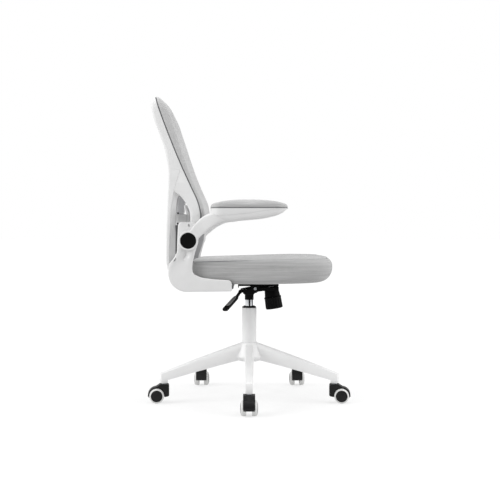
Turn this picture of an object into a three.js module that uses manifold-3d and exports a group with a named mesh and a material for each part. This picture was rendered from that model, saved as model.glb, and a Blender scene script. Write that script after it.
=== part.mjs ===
import * as THREE from 'three';
import { LoftGeometry } from 'three/addons/geometries/LoftGeometry.js';
import { mergeVertices } from 'three/addons/utils/BufferGeometryUtils.js';
import Module from 'manifold-3d';

const wasm = await Module();
wasm.setup();

// Swivel task chair. Millimetres, Z up, X towards the front of the seat, Y to the sitter's left.
// The model is drawn round the column axis, with the floor at height zero.

// Shared clearances and roundness
const seatGap = 0.3;
const runGap = 0.9;
const overrun = 5;
const overlap = 1;
const roundSteps = 20;
const smallSteps = 12;

// Five legged base
const legCount = 5;
const stemCircle = 300;
const hubTop = 192;
const hubBottom = 128;
const hubRadius = 36;
const legRootWidth = 32;
const legTipWidth = 23;
const legRootTop = 190;
const legMidTop = 138.5;
const legTipTop = 98.5;
const legTipSlope = 7.5;
const legRootBottom = 132;
const legMidBottom = 99;
const legEndBottom = 77;
const legBevel = 12;
const legTipBevel = 2;
const tipOverhang = 11.5;
const tipBlockLength = 23;
const tipBottom = 67;
const legMidShare = 0.6;
const hubFillet = 14;
const legRootShare = 0.6;
const legBevelShare = 0.45;

// Gas column
const columnRadius = 25;
const columnTop = 311;
const columnSetback = 1;
const columnBore = 21;
const columnTaper = 1.2;
const bushFlange = 6.4;
const bushFlangeRadius = 24;
const bushDepth = 58;
const cylinderRadius = 14;
const cylinderBore = 9.5;
const cylinderLow = 172;
const cylinderEndWall = 8;
const rodRadius = 5;
const rodHeadRadius = 8.6;
const rodHeadHeight = 9;
const rodRise = 26;
const footPlate = 5;
const clipRadius = 9;
const clipThickness = 2;
const liftShown = 20.6;

// Tilt mechanism
const socketRadius = 15.2;
const socketFoot = columnTop + bushFlange + liftShown;
const socketHeight = 26;
const socketTop = socketFoot + socketHeight;
const socketFlareShare = 1.6;
const cylinderTaperDepth = 36;
const housingHeight = 21;
const housingBottom = socketTop - overlap;
const housingTop = housingBottom + housingHeight;
const housingRear = -30;
const housingRelief = 13;
const plateRear = -38;
const housingFront = 100;
const housingHalf = 52;
const housingWall = 4;
const cupRadius = 25.5;
const cupBore = 22;
const cupHeight = 34;
const cupX = 80;
const cupDrop = 14;
const cupFootZ = housingBottom - cupDrop;
const cupLeanDeg = 9;
const cupTaper = 1;
const pinX = 20.5;
const pinDrop = 5;
const pinZ = housingTop - pinDrop;
const pinRadius = 5;
const pinEnd = 1.5;
const earThickness = 3;
const earDrop = 15;
const earHalf = 15;
const plateThickness = 4;
const plateLift = 4;
const plateBottom = housingTop + plateLift;
const plateHalf = 62;
const riserShare = 0.9;
const springWire = 2.2;
const springRadius = 16;
const springCurls = 3;
const springSteps = 8;
const springSides = 5;
const boltRadius = 5;
const boltHead = 10;
const boltHeadHeight = 5;
const knobRadius = 29.5;
const knobHeight = 41;
const knobRim = 3;
const knobFlutes = 16;
const fluteDepth = 1.4;

// Height lever on the sitter's right
const leverX = -30;
const leverRise = 6;
const leverZ = housingBottom + leverRise;
const leverRodRadius = 4;
const leverCollarRadius = 6.5;
const leverCollarLength = 12;
const leverOut = 118;
const leverBack = 10;
const leverDrop = 8;
const paddleOut = 66;
const paddleBack = 38;
const paddleDrop = 38;
const paddleWidth = 24;
const paddleThick = 12;
const rodInsert = 24;

// Seat
const seatRear = -195;
const seatDepth = 472;
const seatWidth = 470;
const seatRise = 17;
const seatBottom = plateBottom + seatRise;
const seatThickness = 81;
const seatCrown = 8;
const seatFrontCorner = 105;
const seatRearCorner = 70;
const seatFrontBow = 10;
const seatCount = 44;
const crownShare = 0.09;
const panThickness = 12;
const panInset = 64;
const barWidth = 50;
const barHeight = 15;
const barFrontEdge = -50;
const rearBarFrontEdge = -150;
const barWall = 2;

// Side brackets that carry the back and the arms
const bracketRear = -257;
const bracketDepth = 207;
const bracketDrop = 23;
const bracketBottom = seatBottom - bracketDrop;
const bracketHeight = 223;
const bracketThickness = 18;
const bracketClear = 3;
const bracketInner = seatWidth / 2 + bracketClear;

// Back frame, hoop and mesh
const backRise = 45;
const backBottom = seatBottom + backRise;
const backHeight = 560;
const backRear = -316;
const backReach = 170;
const backHalfLow = bracketInner - overlap;
const backTaper = 31;
const backHalfTop = backHalfLow - backTaper;
const backCorner = 46;
const railRise = 152;
const meshBottom = backBottom + railRise;
const bottomCorner = 34;
const rimThickness = 19;
const rimBevel = 7;
const ribWidth = 62;
const ribThickness = 26;
const ribTaper = 34;
const ribEdge = 4;
const hoopThickness = 3;
const meshThickness = 2.4;
const meshSag = 26;
const meshEdge = 16;
const meshClear = 1;
const meshDomeShare = 0.35;
const meshDomeDepth = 70;

// Lumbar support
const lumbarZ = meshBottom - overlap;
const lumbarHeight = 29;
const lumbarThickness = 6;
const lumbarArch = 26;
const lumbarInset = 41;
const lumbarHalf = backHalfLow - lumbarInset;
const lumbarPadHalf = 92;
const lumbarPadHeight = 78;
const lumbarPadThickness = 9;
const barSteps = 10;
const padSteps = 6;

// Flip up arms
const pivotX = -192;
const pivotRise = 140;
const pivotZ = seatBottom + pivotRise;
const pivotBoss = 31;
const capRadius = 25;
const capDepth = 4;
const capProud = 1;
const linkThickness = 20;
const armLength = 314;
const armRise = 102;
const armPadStart = 70;
const padWidth = 80;
const padThickness = 26;
const armOffset = 12;
const padCount = 30;
const padCrownShare = 0.28;
const trayDepthShare = 1.6;
const trayInset = 13;
const pivotBolt = 6;

// Twin wheel casters
const wheelRadius = 25;
const wheelTrail = 24;
const wheelInner = 9;
const wheelWidth = 17;
const wheelEdge = 2.4;
const wheelSteps = 16;
const hubRecess = 1.6;
const hubFaceRadius = 19.2;
const axleRadius = 4;
const axleHalf = 23;
const hoodTop = 63;
const hoodHalf = 19;
const webHalf = 8.2;
const fenderGap = 1.5;
const fenderWall = 2.8;
const fenderFootDeg = -4;
const fenderHeadDeg = 84;
const fenderLipDeg = -14;
const fenderSteps = 9;
const hoodBlock = 17.5;
const hoodLow = 23;
const hoodCorner = 5;
const hollowSteps = 24;
const stemRadius = 5.5;
const stemCollar = 9;
const stemFoot = 40;
const stemTop = 92;
const casterRestDeg = [-90, -5, 90, 90, 185];

const paint = {
  white: { color: 0xf0f0ef, roughness: 0.45, metalness: 0 },
  black: { color: 0x1c1c1d, roughness: 0.5, metalness: 0 },
  chrome: { color: 0xd9dadc, roughness: 0.12, metalness: 1 },
  steel: { color: 0x8c8f93, roughness: 0.35, metalness: 1 },
  fabric: { color: 0xb4b5b6, roughness: 0.95, metalness: 0 },
  mesh: { color: 0xbfc0c1, roughness: 0.9, metalness: 0 },
  tread: { color: 0xe4e4e3, roughness: 0.6, metalness: 0 }
};

const chair = new THREE.Group();
const model = new THREE.Group();
chair.add(model);

function place(name, geometry, finish, parent = model) {
  const mesh = new THREE.Mesh(geometry, new THREE.MeshStandardMaterial(paint[finish]));
  mesh.name = name;
  parent.add(mesh);
  return mesh;
}

// A closed geometry turned into a solid that can be joined and cut
function solid(geometry) {
  const bare = geometry.index ? geometry.toNonIndexed() : geometry.clone();
  bare.deleteAttribute('normal');
  bare.deleteAttribute('uv');
  const merged = mergeVertices(bare, 1e-3);
  return new wasm.Manifold(new wasm.Mesh({
    numProp: 3,
    vertProperties: new Float32Array(merged.attributes.position.array),
    triVerts: new Uint32Array(merged.index.array)
  }));
}

function geometryOf(body) {
  const mesh = body.getMesh();
  const geometry = new THREE.BufferGeometry();
  geometry.setAttribute('position', new THREE.BufferAttribute(new Float32Array(mesh.vertProperties), 3));
  geometry.setIndex(new THREE.BufferAttribute(new Uint32Array(mesh.triVerts), 1));
  return geometry;
}

function cut(geometry, tools) {
  return geometryOf(tools.reduce((body, tool) => body.subtract(solid(tool)), solid(geometry)));
}

function join(parts) {
  return geometryOf(parts.slice(1).reduce((body, part) => body.add(solid(part)), solid(parts[0])));
}

function common(first, second) {
  return geometryOf(solid(first).intersect(solid(second)));
}

// Smooth line through rising [place, value] pairs
function through(pairs) {
  const rising = [...pairs].sort((a, b) => a[0] - b[0]);
  const slope = rising.map((pair, i) => {
    const before = rising[Math.max(i - 1, 0)];
    const after = rising[Math.min(i + 1, rising.length - 1)];
    return (after[1] - before[1]) / (after[0] - before[0]);
  });
  return (place) => {
    const at = THREE.MathUtils.clamp(place, rising[0][0], rising[rising.length - 1][0]);
    let i = rising.findIndex((pair) => pair[0] >= at);
    i = Math.max(i, 1);
    const [x0, y0] = rising[i - 1];
    const [x1, y1] = rising[i];
    const run = x1 - x0;
    const t = (at - x0) / run;
    const t2 = t * t;
    const t3 = t2 * t;
    return (2 * t3 - 3 * t2 + 1) * y0 + (t3 - 2 * t2 + t) * run * slope[i - 1]
      + (3 * t2 - 2 * t3) * y1 + (t3 - t2) * run * slope[i];
  };
}

// A block between two heights, with its centre at x and y
function block(width, depth, low, high, x = 0, y = 0) {
  return new THREE.BoxGeometry(width, depth, high - low).translate(x, y, (low + high) / 2);
}

// A round bar standing on Z between two heights
function post(radius, low, high, steps = roundSteps, topRadius = radius) {
  const bar = new THREE.CylinderGeometry(topRadius, radius, high - low, steps);
  return bar.rotateX(Math.PI / 2).translate(0, 0, (low + high) / 2);
}

// A round bar lying along Y between two places
function crossPost(radius, from, to, steps = roundSteps) {
  return new THREE.CylinderGeometry(radius, radius, to - from, steps).translate(0, (from + to) / 2, 0);
}

// A shape turned round Z from [radius, height] pairs that start and end on the axis or close up
function turned(pairs, steps = roundSteps) {
  const points = pairs.map(([radius, height]) => new THREE.Vector2(radius, height));
  return new THREE.LatheGeometry(points, steps).rotateX(Math.PI / 2);
}

// An outline of [x, z] pairs made solid between two places on Y
function sideSlab(pairs, from, to) {
  const shape = new THREE.Shape(pairs.map(([x, z]) => new THREE.Vector2(x, z)));
  const slab = new THREE.ExtrudeGeometry(shape, { depth: to - from, bevelEnabled: false });
  return slab.rotateX(Math.PI / 2).translate(0, to, 0);
}

// Points of a round stretch in the side view, angles in degrees from the front, upwards
function arcPairs(x, z, radius, fromDeg, toDeg, steps) {
  return Array.from({ length: steps + 1 }, (_, i) => {
    const angle = THREE.MathUtils.degToRad(fromDeg + (toDeg - fromDeg) * i / steps);
    return [x + radius * Math.cos(angle), z + radius * Math.sin(angle)];
  });
}

// Whether a ring of points turns anticlockwise seen from the ring that follows it
function windsForward(ring, next) {
  const normal = new THREE.Vector3();
  const travel = new THREE.Vector3();
  ring.forEach((point, i) => {
    normal.add(new THREE.Vector3().crossVectors(point, ring[(i + 1) % ring.length]));
    travel.add(next[i]).sub(point);
  });
  return normal.dot(travel) > 0;
}

// A skin over rings of points, with both ends capped unless the rings close up
function skin(rings, capped = true) {
  const forward = windsForward(rings[0], rings[1]);
  const ordered = forward ? rings : rings.map((ring) => [...ring].reverse());
  const loft = new LoftGeometry(ordered, { closed: true, capStart: capped, capEnd: capped });
  return new THREE.BufferGeometry().copy(loft);
}

function mirrored(geometry) {
  const copy = geometry.clone().scale(1, -1, 1);
  const flat = copy.index ? copy.toNonIndexed() : copy;
  const corners = flat.attributes.position;
  for (let i = 0; i < corners.count; i += 3) {
    const a = new THREE.Vector3().fromBufferAttribute(corners, i + 1);
    const b = new THREE.Vector3().fromBufferAttribute(corners, i + 2);
    corners.setXYZ(i + 1, b.x, b.y, b.z);
    corners.setXYZ(i + 2, a.x, a.y, a.z);
  }
  return flat;
}

// Base: five bevelled legs joined round a hub with a bore for the column
const tipRadius = stemCircle + tipOverhang;
const tipInner = tipRadius - tipBlockLength;
const legMid = hubRadius + (stemCircle - hubRadius) * legMidShare;

function legRing(radius, top, bottom, width, bevel) {
  const half = width / 2;
  const side = bevel * legBevelShare;
  return [[half, bottom], [half, top - bevel], [half - side, top], [side - half, top],
    [-half, top - bevel], [-half, bottom]].map(([y, z]) => new THREE.Vector3(radius, y, z));
}

function baseLeg() {
  const root = columnRadius * legRootShare;
  const midWidth = (legRootWidth + legTipWidth) / 2;
  const midBevel = (legBevel + legTipBevel) / 2;
  return skin([
    legRing(root, legRootTop, hubBottom + overlap, legRootWidth, legBevel),
    legRing(hubRadius + hubFillet / 2, legRootTop - legBevel / 3, legRootBottom, legRootWidth, legBevel),
    legRing(legMid, legMidTop, legMidBottom, midWidth, midBevel),
    legRing(tipInner, legTipTop + legTipSlope, legEndBottom, legTipWidth, legTipBevel),
    legRing(tipInner + seatGap, legTipTop + legTipSlope, tipBottom, legTipWidth, legTipBevel),
    legRing(tipRadius, legTipTop, tipBottom, legTipWidth, legTipBevel)
  ]);
}

function legAngle(index) {
  return -Math.PI / 2 + index * 2 * Math.PI / legCount;
}

const hubBody = turned([[0, hubBottom], [hubRadius, hubBottom],
  [hubRadius + hubFillet, hubBottom + hubFillet],
  [hubRadius, hubTop - hubFillet], [columnRadius + seatGap + hubFillet / 3, hubTop], [0, hubTop]]);
const legs = Array.from({ length: legCount }, (_, i) => baseLeg().rotateZ(legAngle(i)));
const hubBore = post(columnRadius + seatGap - columnTaper, hubBottom - overrun, hubTop + overrun, roundSteps,
  columnRadius + seatGap);
const stemHoles = Array.from({ length: legCount }, (_, i) =>
  post(stemRadius + seatGap, tipBottom - overrun, stemTop + seatGap, smallSteps)
    .translate(stemCircle, 0, 0).rotateZ(legAngle(i)));
place('base_star', cut(join([hubBody, ...legs]), [hubBore, ...stemHoles]), 'white');

// Column: tube, guide bush, piston rod with its foot clip, and the rising cylinder
const columnFoot = hubBottom + columnSetback;
const bushTop = columnTop + bushFlange;
const columnFootRadius = columnRadius - columnTaper - seatGap;
const columnSeatRadius = columnRadius - seatGap;
const columnBody = turned([[0, columnFoot], [columnFootRadius, columnFoot], [columnSeatRadius, hubTop],
  [columnRadius, hubTop + seatGap], [columnRadius, columnTop], [0, columnTop]]);
place('column_tube', cut(columnBody, [
  post(columnBore, columnFoot + footPlate, columnTop + overrun),
  post(rodRadius + seatGap, columnFoot - overrun, columnTop, smallSteps)
]), 'white');

const bushBody = turned([[0, columnTop - bushDepth], [columnBore - seatGap, columnTop - bushDepth],
  [columnBore - seatGap, columnTop + seatGap], [bushFlangeRadius, columnTop + seatGap],
  [bushFlangeRadius, bushTop], [0, bushTop]]);
place('column_bush', cut(bushBody, [
  post(cylinderRadius + seatGap, columnTop - bushDepth - overrun, bushTop + overrun)
]), 'black');

const rodFoot = columnFoot - clipThickness - 2 * seatGap;
const rodTop = cylinderLow + rodRise;
place('piston_rod', turned([[0, rodFoot], [rodRadius, rodFoot], [rodRadius, rodTop], [rodHeadRadius, rodTop],
  [rodHeadRadius, rodTop + rodHeadHeight], [0, rodTop + rodHeadHeight]], smallSteps), 'steel');
const clipTop = columnFoot - seatGap;
place('piston_clip', cut(post(clipRadius, clipTop - clipThickness, clipTop, smallSteps), [
  post(rodRadius + seatGap, columnFoot - overrun, columnFoot + overrun, smallSteps)
]), 'steel');

const cylinderTop = socketFoot + cylinderTaperDepth;
place('gas_cylinder', cut(post(cylinderRadius, cylinderLow, cylinderTop), [
  post(cylinderBore, cylinderLow - overrun, cylinderTop - cylinderEndWall)
]), 'chrome');

// Tilt housing: a shallow box open on top, a socket for the cylinder and a leaning spring cup
const cupLean = THREE.MathUtils.degToRad(cupLeanDeg);

// Puts a shape drawn upright on Z, with its foot at the knob's seat, on the leaning spring axis
function lean(geometry) {
  return geometry.rotateY(-cupLean).translate(cupX, 0, cupFootZ);
}

const housingSlope = (housingTop - housingBottom) * 0.7;
const housingOutline = [[-socketRadius, housingBottom], [housingFront, housingBottom],
  [housingFront, housingTop], [housingRear, housingTop], [housingRear, housingTop - housingSlope / 2]];
const hollow = [[housingRear + housingWall, housingTop + overrun],
  [housingRear + housingWall, housingTop - housingSlope / 2],
  [-socketRadius + housingWall, housingBottom + housingWall],
  [housingFront - housingWall, housingBottom + housingWall],
  [housingFront - housingWall, housingTop + overrun]];
const socketBody = turned([[0, socketFoot], [socketRadius, socketFoot],
  [socketRadius, socketTop - socketRadius / 2],
  [socketRadius * socketFlareShare, socketTop],
  [socketRadius * socketFlareShare, housingTop - seatGap], [0, housingTop - seatGap]]);
const cupBody = lean(post(cupRadius, 0, cupHeight, roundSteps, cupRadius - cupTaper));
const housingShell = cut(sideSlab(housingOutline, -housingHalf, housingHalf), [
  sideSlab(hollow, housingWall - housingHalf, housingHalf - housingWall)
]);
const cupHollow = lean(post(cupBore, housingWall, cupHeight + cupRadius));
const cupHole = lean(post(boltRadius + seatGap, -overrun, cupHeight, smallSteps));
const pinHole = crossPost(pinRadius + seatGap, -housingHalf - overrun, housingHalf + overrun, smallSteps)
  .translate(pinX, 0, pinZ);
const pinBoss = crossPost(pinRadius + housingWall, -housingHalf, housingHalf, smallSteps)
  .translate(pinX, 0, pinZ - overlap);
const cylinderSeat = post(cylinderRadius + seatGap, socketFoot - overrun, cylinderTop + seatGap);
const reliefPairs = [[pinX, housingTop], [pinX, housingTop + overrun],
  [housingRear - overrun, housingTop + overrun], [housingRear - overrun, housingTop - housingRelief]];
const rearRelief = sideSlab(reliefPairs, -housingHalf - overrun, housingHalf + overrun);
const lidTop = housingTop + cupRadius * 2;
const housingLid = block(housingFront * 2, housingHalf * 3, housingTop, lidTop, cupRadius);
place('tilt_housing', cut(join([housingShell, socketBody, cupBody, pinBoss]), [
  cupHollow, cupHole, pinHole, cylinderSeat, housingLid, rearRelief
]), 'black');

const earInner = housingHalf + seatGap;
const pinHalf = earInner + earThickness + pinEnd;
place('tilt_pin', crossPost(pinRadius, -pinHalf, pinHalf, smallSteps).translate(pinX, 0, pinZ), 'steel');

// Tension spring: one unbroken wire helix round the bolt, inside the cup
const springFoot = housingWall + seatGap + springWire;
const springTop = cupHeight - boltHeadHeight - 2 * seatGap - springWire;

function springRing(step) {
  const turn = 2 * Math.PI * step / springSteps;
  const height = springFoot + (springTop - springFoot) * step / (springSteps * springCurls);
  return Array.from({ length: springSides }, (_, i) => {
    const round = 2 * Math.PI * i / springSides;
    const out = springRadius + springWire * Math.cos(round);
    const rise = height + springWire * Math.sin(round);
    return new THREE.Vector3(out * Math.cos(turn), out * Math.sin(turn), rise);
  });
}

const springRings = Array.from({ length: springSteps * springCurls + 1 }, (_, i) => springRing(i));
const springGap = (springTop - springFoot) / springCurls - 2 * springWire;
console.log(`least gap between the spring's curls: ${springGap.toFixed(2)} mm`);
place('tension_spring', lean(skin(springRings)), 'steel');

const boltFoot = -knobHeight / 2;
const headFoot = cupHeight - boltHeadHeight;
place('tension_bolt', lean(turned([[0, boltFoot], [boltRadius, boltFoot], [boltRadius, headFoot],
  [boltHead, headFoot], [boltHead, cupHeight], [0, cupHeight]], smallSteps)), 'steel');

function flutedDisc(radius, depth, flutes, low, high) {
  const count = flutes * 2;
  const points = Array.from({ length: count }, (_, i) => {
    const reach = i % 2 ? radius - depth : radius;
    const angle = 2 * Math.PI * i / count;
    return new THREE.Vector2(reach * Math.cos(angle), reach * Math.sin(angle));
  });
  return new THREE.ExtrudeGeometry(new THREE.Shape(points), { depth: high - low, bevelEnabled: false })
    .translate(0, 0, low);
}

const knobTop = -seatGap;
const rimFoot = knobTop - knobRim;
const knobBody = join([flutedDisc(knobRadius, fluteDepth, knobFlutes, knobTop - knobHeight, rimFoot),
  post(knobRadius, rimFoot, knobTop)]);
place('tension_knob', lean(cut(knobBody, [
  post(boltRadius + seatGap, boltFoot - seatGap, overrun, smallSteps)
])), 'black');

// Lever: a collar on the housing wall, a bent rod and a flat paddle
const leverStart = -(housingHalf + runGap);
const rodStart = new THREE.Vector3(leverX, leverStart - seatGap, leverZ);
const rodBend = new THREE.Vector3(leverX - leverBack, leverStart - leverOut, leverZ - leverDrop);
const paddleEnd = new THREE.Vector3(rodBend.x - paddleBack, rodBend.y - paddleOut, rodBend.z - paddleDrop);

function alongRings(from, to, stations, section) {
  const way = new THREE.Vector3().subVectors(to, from);
  const along = way.clone().normalize();
  const side = new THREE.Vector3(0, 0, 1).cross(along).normalize();
  const up = new THREE.Vector3().crossVectors(along, side);
  return stations.map(([share, wide, thick]) => section.map(([u, v]) => from.clone()
    .addScaledVector(way, share).addScaledVector(side, u * wide).addScaledVector(up, v * thick)));
}

const octagon = Array.from({ length: 8 }, (_, i) =>
  [Math.cos((i + 0.5) * Math.PI / 4), Math.sin((i + 0.5) * Math.PI / 4)]);
const rodWay = new THREE.Vector3().subVectors(rodBend, rodStart).normalize();
const boreRadius = leverRodRadius + runGap;
const leverBore = skin(alongRings(rodStart.clone().addScaledVector(rodWay, -leverCollarLength), rodBend,
  [[0, boreRadius, boreRadius], [1, boreRadius, boreRadius]], octagon));
place('lever_collar', cut(crossPost(leverCollarRadius, leverStart - leverCollarLength, leverStart, smallSteps)
  .translate(leverX, 0, leverZ), [leverBore]), 'black');
const paddleHalf = paddleWidth / 2;
const paddleWay = new THREE.Vector3().subVectors(paddleEnd, rodBend).normalize();
const paddleStart = rodBend.clone().addScaledVector(paddleWay, leverRodRadius);
const rodTip = rodBend.clone().addScaledVector(paddleWay, rodInsert);
const rodTurns = [[rodStart, rodWay], [rodBend, rodWay.clone().add(paddleWay)], [rodTip, paddleWay]];
place('lever_rod', skin(rodTurns.map(([spot, way]) => alongRings(spot, spot.clone().add(way),
  [[0, leverRodRadius, leverRodRadius]], octagon)[0])), 'black');
const boreHalf = leverRodRadius + seatGap;
const paddleBore = skin(alongRings(rodBend, rodTip.clone().addScaledVector(paddleWay, seatGap),
  [[0, boreHalf, boreHalf], [1, boreHalf, boreHalf]], octagon));
const paddleHalfShares = [[0, 0.5], [0.2, 0.85], [0.85, 1], [1, 0.82]];
place('lever_paddle', cut(skin(alongRings(paddleStart, paddleEnd,
  paddleHalfShares.map(([share, wide]) => [share, paddleHalf * wide, paddleThick / 2]), octagon)),
[paddleBore]), 'black');

// Seat plate: a steel saddle with ears on the tilt pin, bolted under the seat pan
const plateTop = plateBottom + plateThickness;
const earBottom = pinZ - earDrop;
const saddle = block(housingFront - plateRear, 2 * plateHalf, plateBottom, plateTop,
  (housingFront + plateRear) / 2);
const ears = [-1, 1].map((side) => block(2 * earHalf, earThickness, earBottom, plateBottom + overlap, pinX,
  side * (earInner + earThickness / 2)));
const plateRiser = block(housingFront * riserShare, plateHalf, plateTop - overlap, seatBottom - seatGap,
  housingFront / 3);
const earHoles = crossPost(pinRadius + seatGap, -plateHalf - overrun, plateHalf + overrun, smallSteps)
  .translate(pinX, 0, pinZ);
place('seat_plate', cut(join([saddle, ...ears, plateRiser]), [earHoles]), 'black');

// Seat outline, front bowed and the corners round
function seatOutline(count) {
  const front = seatRear + seatDepth;
  const half = seatWidth / 2;
  const shape = new THREE.Shape();
  shape.moveTo(seatRear, 0);
  shape.lineTo(seatRear, seatRearCorner - half);
  shape.quadraticCurveTo(seatRear, -half, seatRear + seatRearCorner, -half);
  shape.lineTo(front - seatFrontCorner, -half);
  shape.quadraticCurveTo(front - seatFrontBow, -half, front - seatFrontBow, seatFrontCorner - half);
  shape.quadraticCurveTo(front + seatFrontBow, 0, front - seatFrontBow, half - seatFrontCorner);
  shape.quadraticCurveTo(front - seatFrontBow, half, front - seatFrontCorner, half);
  shape.lineTo(seatRear + seatRearCorner, half);
  shape.quadraticCurveTo(seatRear, half, seatRear, half - seatRearCorner);
  shape.closePath();
  return shape.getSpacedPoints(count).slice(0, count);
}

const seatMiddle = seatRear + seatDepth / 2;

// Moves an outline point inwards by a length, measured towards the seat's middle
function inward(point, middle, length) {
  const away = point.clone().sub(middle);
  return middle.clone().addScaledVector(away, 1 - length / away.length());
}

const seatPoints = seatOutline(seatCount);
const panCentre = new THREE.Vector2(seatMiddle, 0);
const panBottom = seatBottom;
const panTop = panBottom + panThickness;
const panRings = [panBottom, panTop].map((z) => seatPoints
  .map((point) => inward(point, panCentre, panInset)).map((point) => new THREE.Vector3(point.x, point.y, z)));
place('seat_pan', skin(panRings), 'black');

// Cushion rings: [height share, side inset, front inset] as shares of the thickness
const seatRingShares = [[0, 0.17, 0.62], [0.08, 0.06, 0.25], [0.22, 0.01, 0.07], [0.43, 0, 0.01],
  [0.66, 0, 0.01], [0.86, 0.01, 0.1], [0.97, 0.03, 0.3], [1, 0.1, 0.52], [1.045, 0.7, 1.3], [1.09, 1.7, 2]];

function seatRing([height, sideInset, frontInset]) {
  return seatPoints.map((point) => {
    const frontness = THREE.MathUtils.smoothstep(point.x, seatMiddle, seatRear + seatDepth - seatFrontBow);
    const inset = seatThickness * THREE.MathUtils.lerp(sideInset, frontInset, frontness);
    const spot = inward(point, panCentre, inset);
    const rise = height > 1 ? (height - 1) / crownShare * seatCrown : 0;
    return new THREE.Vector3(spot.x, spot.y, seatBottom + seatThickness * Math.min(height, 1) + rise);
  });
}

const panPocket = skin([panBottom - overrun, panTop + seatGap].map((z) => seatPoints
  .map((point) => inward(point, panCentre, panInset - seatGap))
  .map((point) => new THREE.Vector3(point.x, point.y, z))));
place('seat_cushion', cut(skin(seatRingShares.map(seatRing)), [panPocket]), 'fabric');

// Steel cross bars from bracket to bracket under the pan
const barTop = seatBottom - seatGap;
const barHalf = bracketInner - seatGap;
const barBores = [barFrontEdge, rearBarFrontEdge];

function crossBar(frontEdge) {
  const middle = frontEdge - barWidth / 2;
  const boreLow = barTop - barHeight + barWall;
  const bore = block(barWidth - 2 * barWall, 2 * (barHalf + overrun), boreLow, barTop - barWall, middle);
  return cut(block(barWidth, 2 * barHalf, barTop - barHeight, barTop, middle), [bore]);
}

place('cross_bar_front', crossBar(barBores[0]), 'steel');
place('cross_bar_rear', crossBar(barBores[1]), 'steel');

// Side brackets: an L plate that carries the seat, the back and an arm.
// The outline is given as [depth share, height share] from its rear foot.
const bracketShares = [[0.239, 0], [0.985, 0], [0.985, 0.117], [0.923, 0.168], [0.715, 0.177], [0.502, 0.204],
  [0.425, 0.235], [0.37, 0.29], [0.366, 0.372], [0.395, 0.444], [0.429, 0.53], [0.464, 0.623],
  [0.507, 0.731], [0.488, 0.865], [0.41, 0.991], [0.169, 0.991], [0.15, 0.933], [0.133, 0.57],
  [0.077, 0.471], [0.005, 0.39], [0, 0.229], [0.024, 0.14], [0.075, 0.065], [0.15, 0.018]];
const bracketPairs = bracketShares.map(([x, z]) =>
  [bracketRear + bracketDepth * x, bracketBottom + bracketHeight * z]);

const bracketOuter = bracketInner + bracketThickness;
const linkInner = bracketOuter + seatGap;
const linkOuter = linkInner + linkThickness;
const pivotBore = crossPost(pivotBolt + seatGap, -linkOuter - overrun, overrun - bracketInner,
  smallSteps).translate(pivotX, 0, pivotZ);
const bracketRight = cut(sideSlab(bracketPairs, -bracketOuter, -bracketInner), [pivotBore]);
place('arm_bracket_right', bracketRight, 'white');
place('arm_bracket_left', mirrored(bracketRight), 'white');

// Side view curves of the back, as [height share, reach share] pairs of the back's height and reach
const rearShares = [[1, 0.041], [0.964, 0.002], [0.93, 0.008], [0.843, 0.085], [0.698, 0.259], [0.571, 0.338],
  [0.505, 0.342], [0.311, 0.318], [0.059, 0.302], [0, 0.33]];
const seamShares = [[1, 0.068], [0.927, 0.144], [0.787, 0.316], [0.615, 0.548], [0.461, 0.779],
  [0.405, 0.866], [0.356, 0.916], [0.315, 0.939], [0.268, 0.93]];
const frontShares = [[1, 0.09], [0.993, 0.165], [0.972, 0.26], [0.934, 0.335], [0.883, 0.4], [0.774, 0.52],
  [0.635, 0.669], [0.526, 0.799], [0.446, 0.912], [0.397, 0.979], [0.357, 1.005], [0.314, 1.012],
  [0.268, 0.97]];
const branchRearShares = [[0.48, 0.34], [0.45, 0.43], [0.436, 0.512], [0.421, 0.57], [0.384, 0.665],
  [0.348, 0.724], [0.314, 0.747], [0.268, 0.73]];
const halfShares = [[1, 0], [0.93, 0.06], [0.75, 0.35], [0.5, 0.62], [0.268, 1]];

function curveOf(shares) {
  const line = through(shares);
  return (z) => backRear + backReach * line((z - backBottom) / backHeight);
}

const rearX = curveOf(rearShares);
const seamX = curveOf(seamShares);
const frontX = curveOf(frontShares);
const branchRearX = curveOf(branchRearShares);
const halfLine = through(halfShares);
const backTop = backBottom + backHeight;

// Half width of the back at a height, before its corners are rounded
function halfAt(z) {
  return THREE.MathUtils.lerp(backHalfTop, backHalfLow, halfLine((z - backBottom) / backHeight));
}

// Front view outline of the back: up one side, over the top, down the other and along the bottom rail
function backOutline(inset, count) {
  const top = backTop - inset;
  const low = meshBottom + inset;
  const half = (z) => halfAt(z) - inset;
  const shape = new THREE.Path();
  const rises = [0, 0.25, 0.5, 0.75, 1].map((share) =>
    THREE.MathUtils.lerp(low + bottomCorner, top - backCorner, share));
  shape.moveTo(bottomCorner - half(low), low);
  shape.quadraticCurveTo(-half(low), low, -half(rises[0]), rises[0]);
  shape.splineThru(rises.slice(1).map((z) => new THREE.Vector2(-half(z), z)));
  shape.quadraticCurveTo(-half(top), top, backCorner - half(top), top);
  shape.lineTo(half(top) - backCorner, top);
  shape.quadraticCurveTo(half(top), top, half(rises[4]), rises[4]);
  shape.splineThru(rises.slice(0, 4).reverse().map((z) => new THREE.Vector2(half(z), z)));
  shape.quadraticCurveTo(half(low), low, half(low) - bottomCorner, low);
  shape.closePath();
  return shape.getSpacedPoints(count).slice(0, count);
}

// Rim: a bevelled section carried all round the outline
const rimCount = 80;
const rimOuter = backOutline(0, rimCount);
const rimInner = backOutline(rimThickness, rimCount);
const rimWeb = backOutline(rimBevel, rimCount);

function rimRearX(z) {
  return Math.min(z < backBottom + backHeight * 0.48 ? branchRearX(z) : rearX(z), seamX(z) - rimBevel);
}

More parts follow.
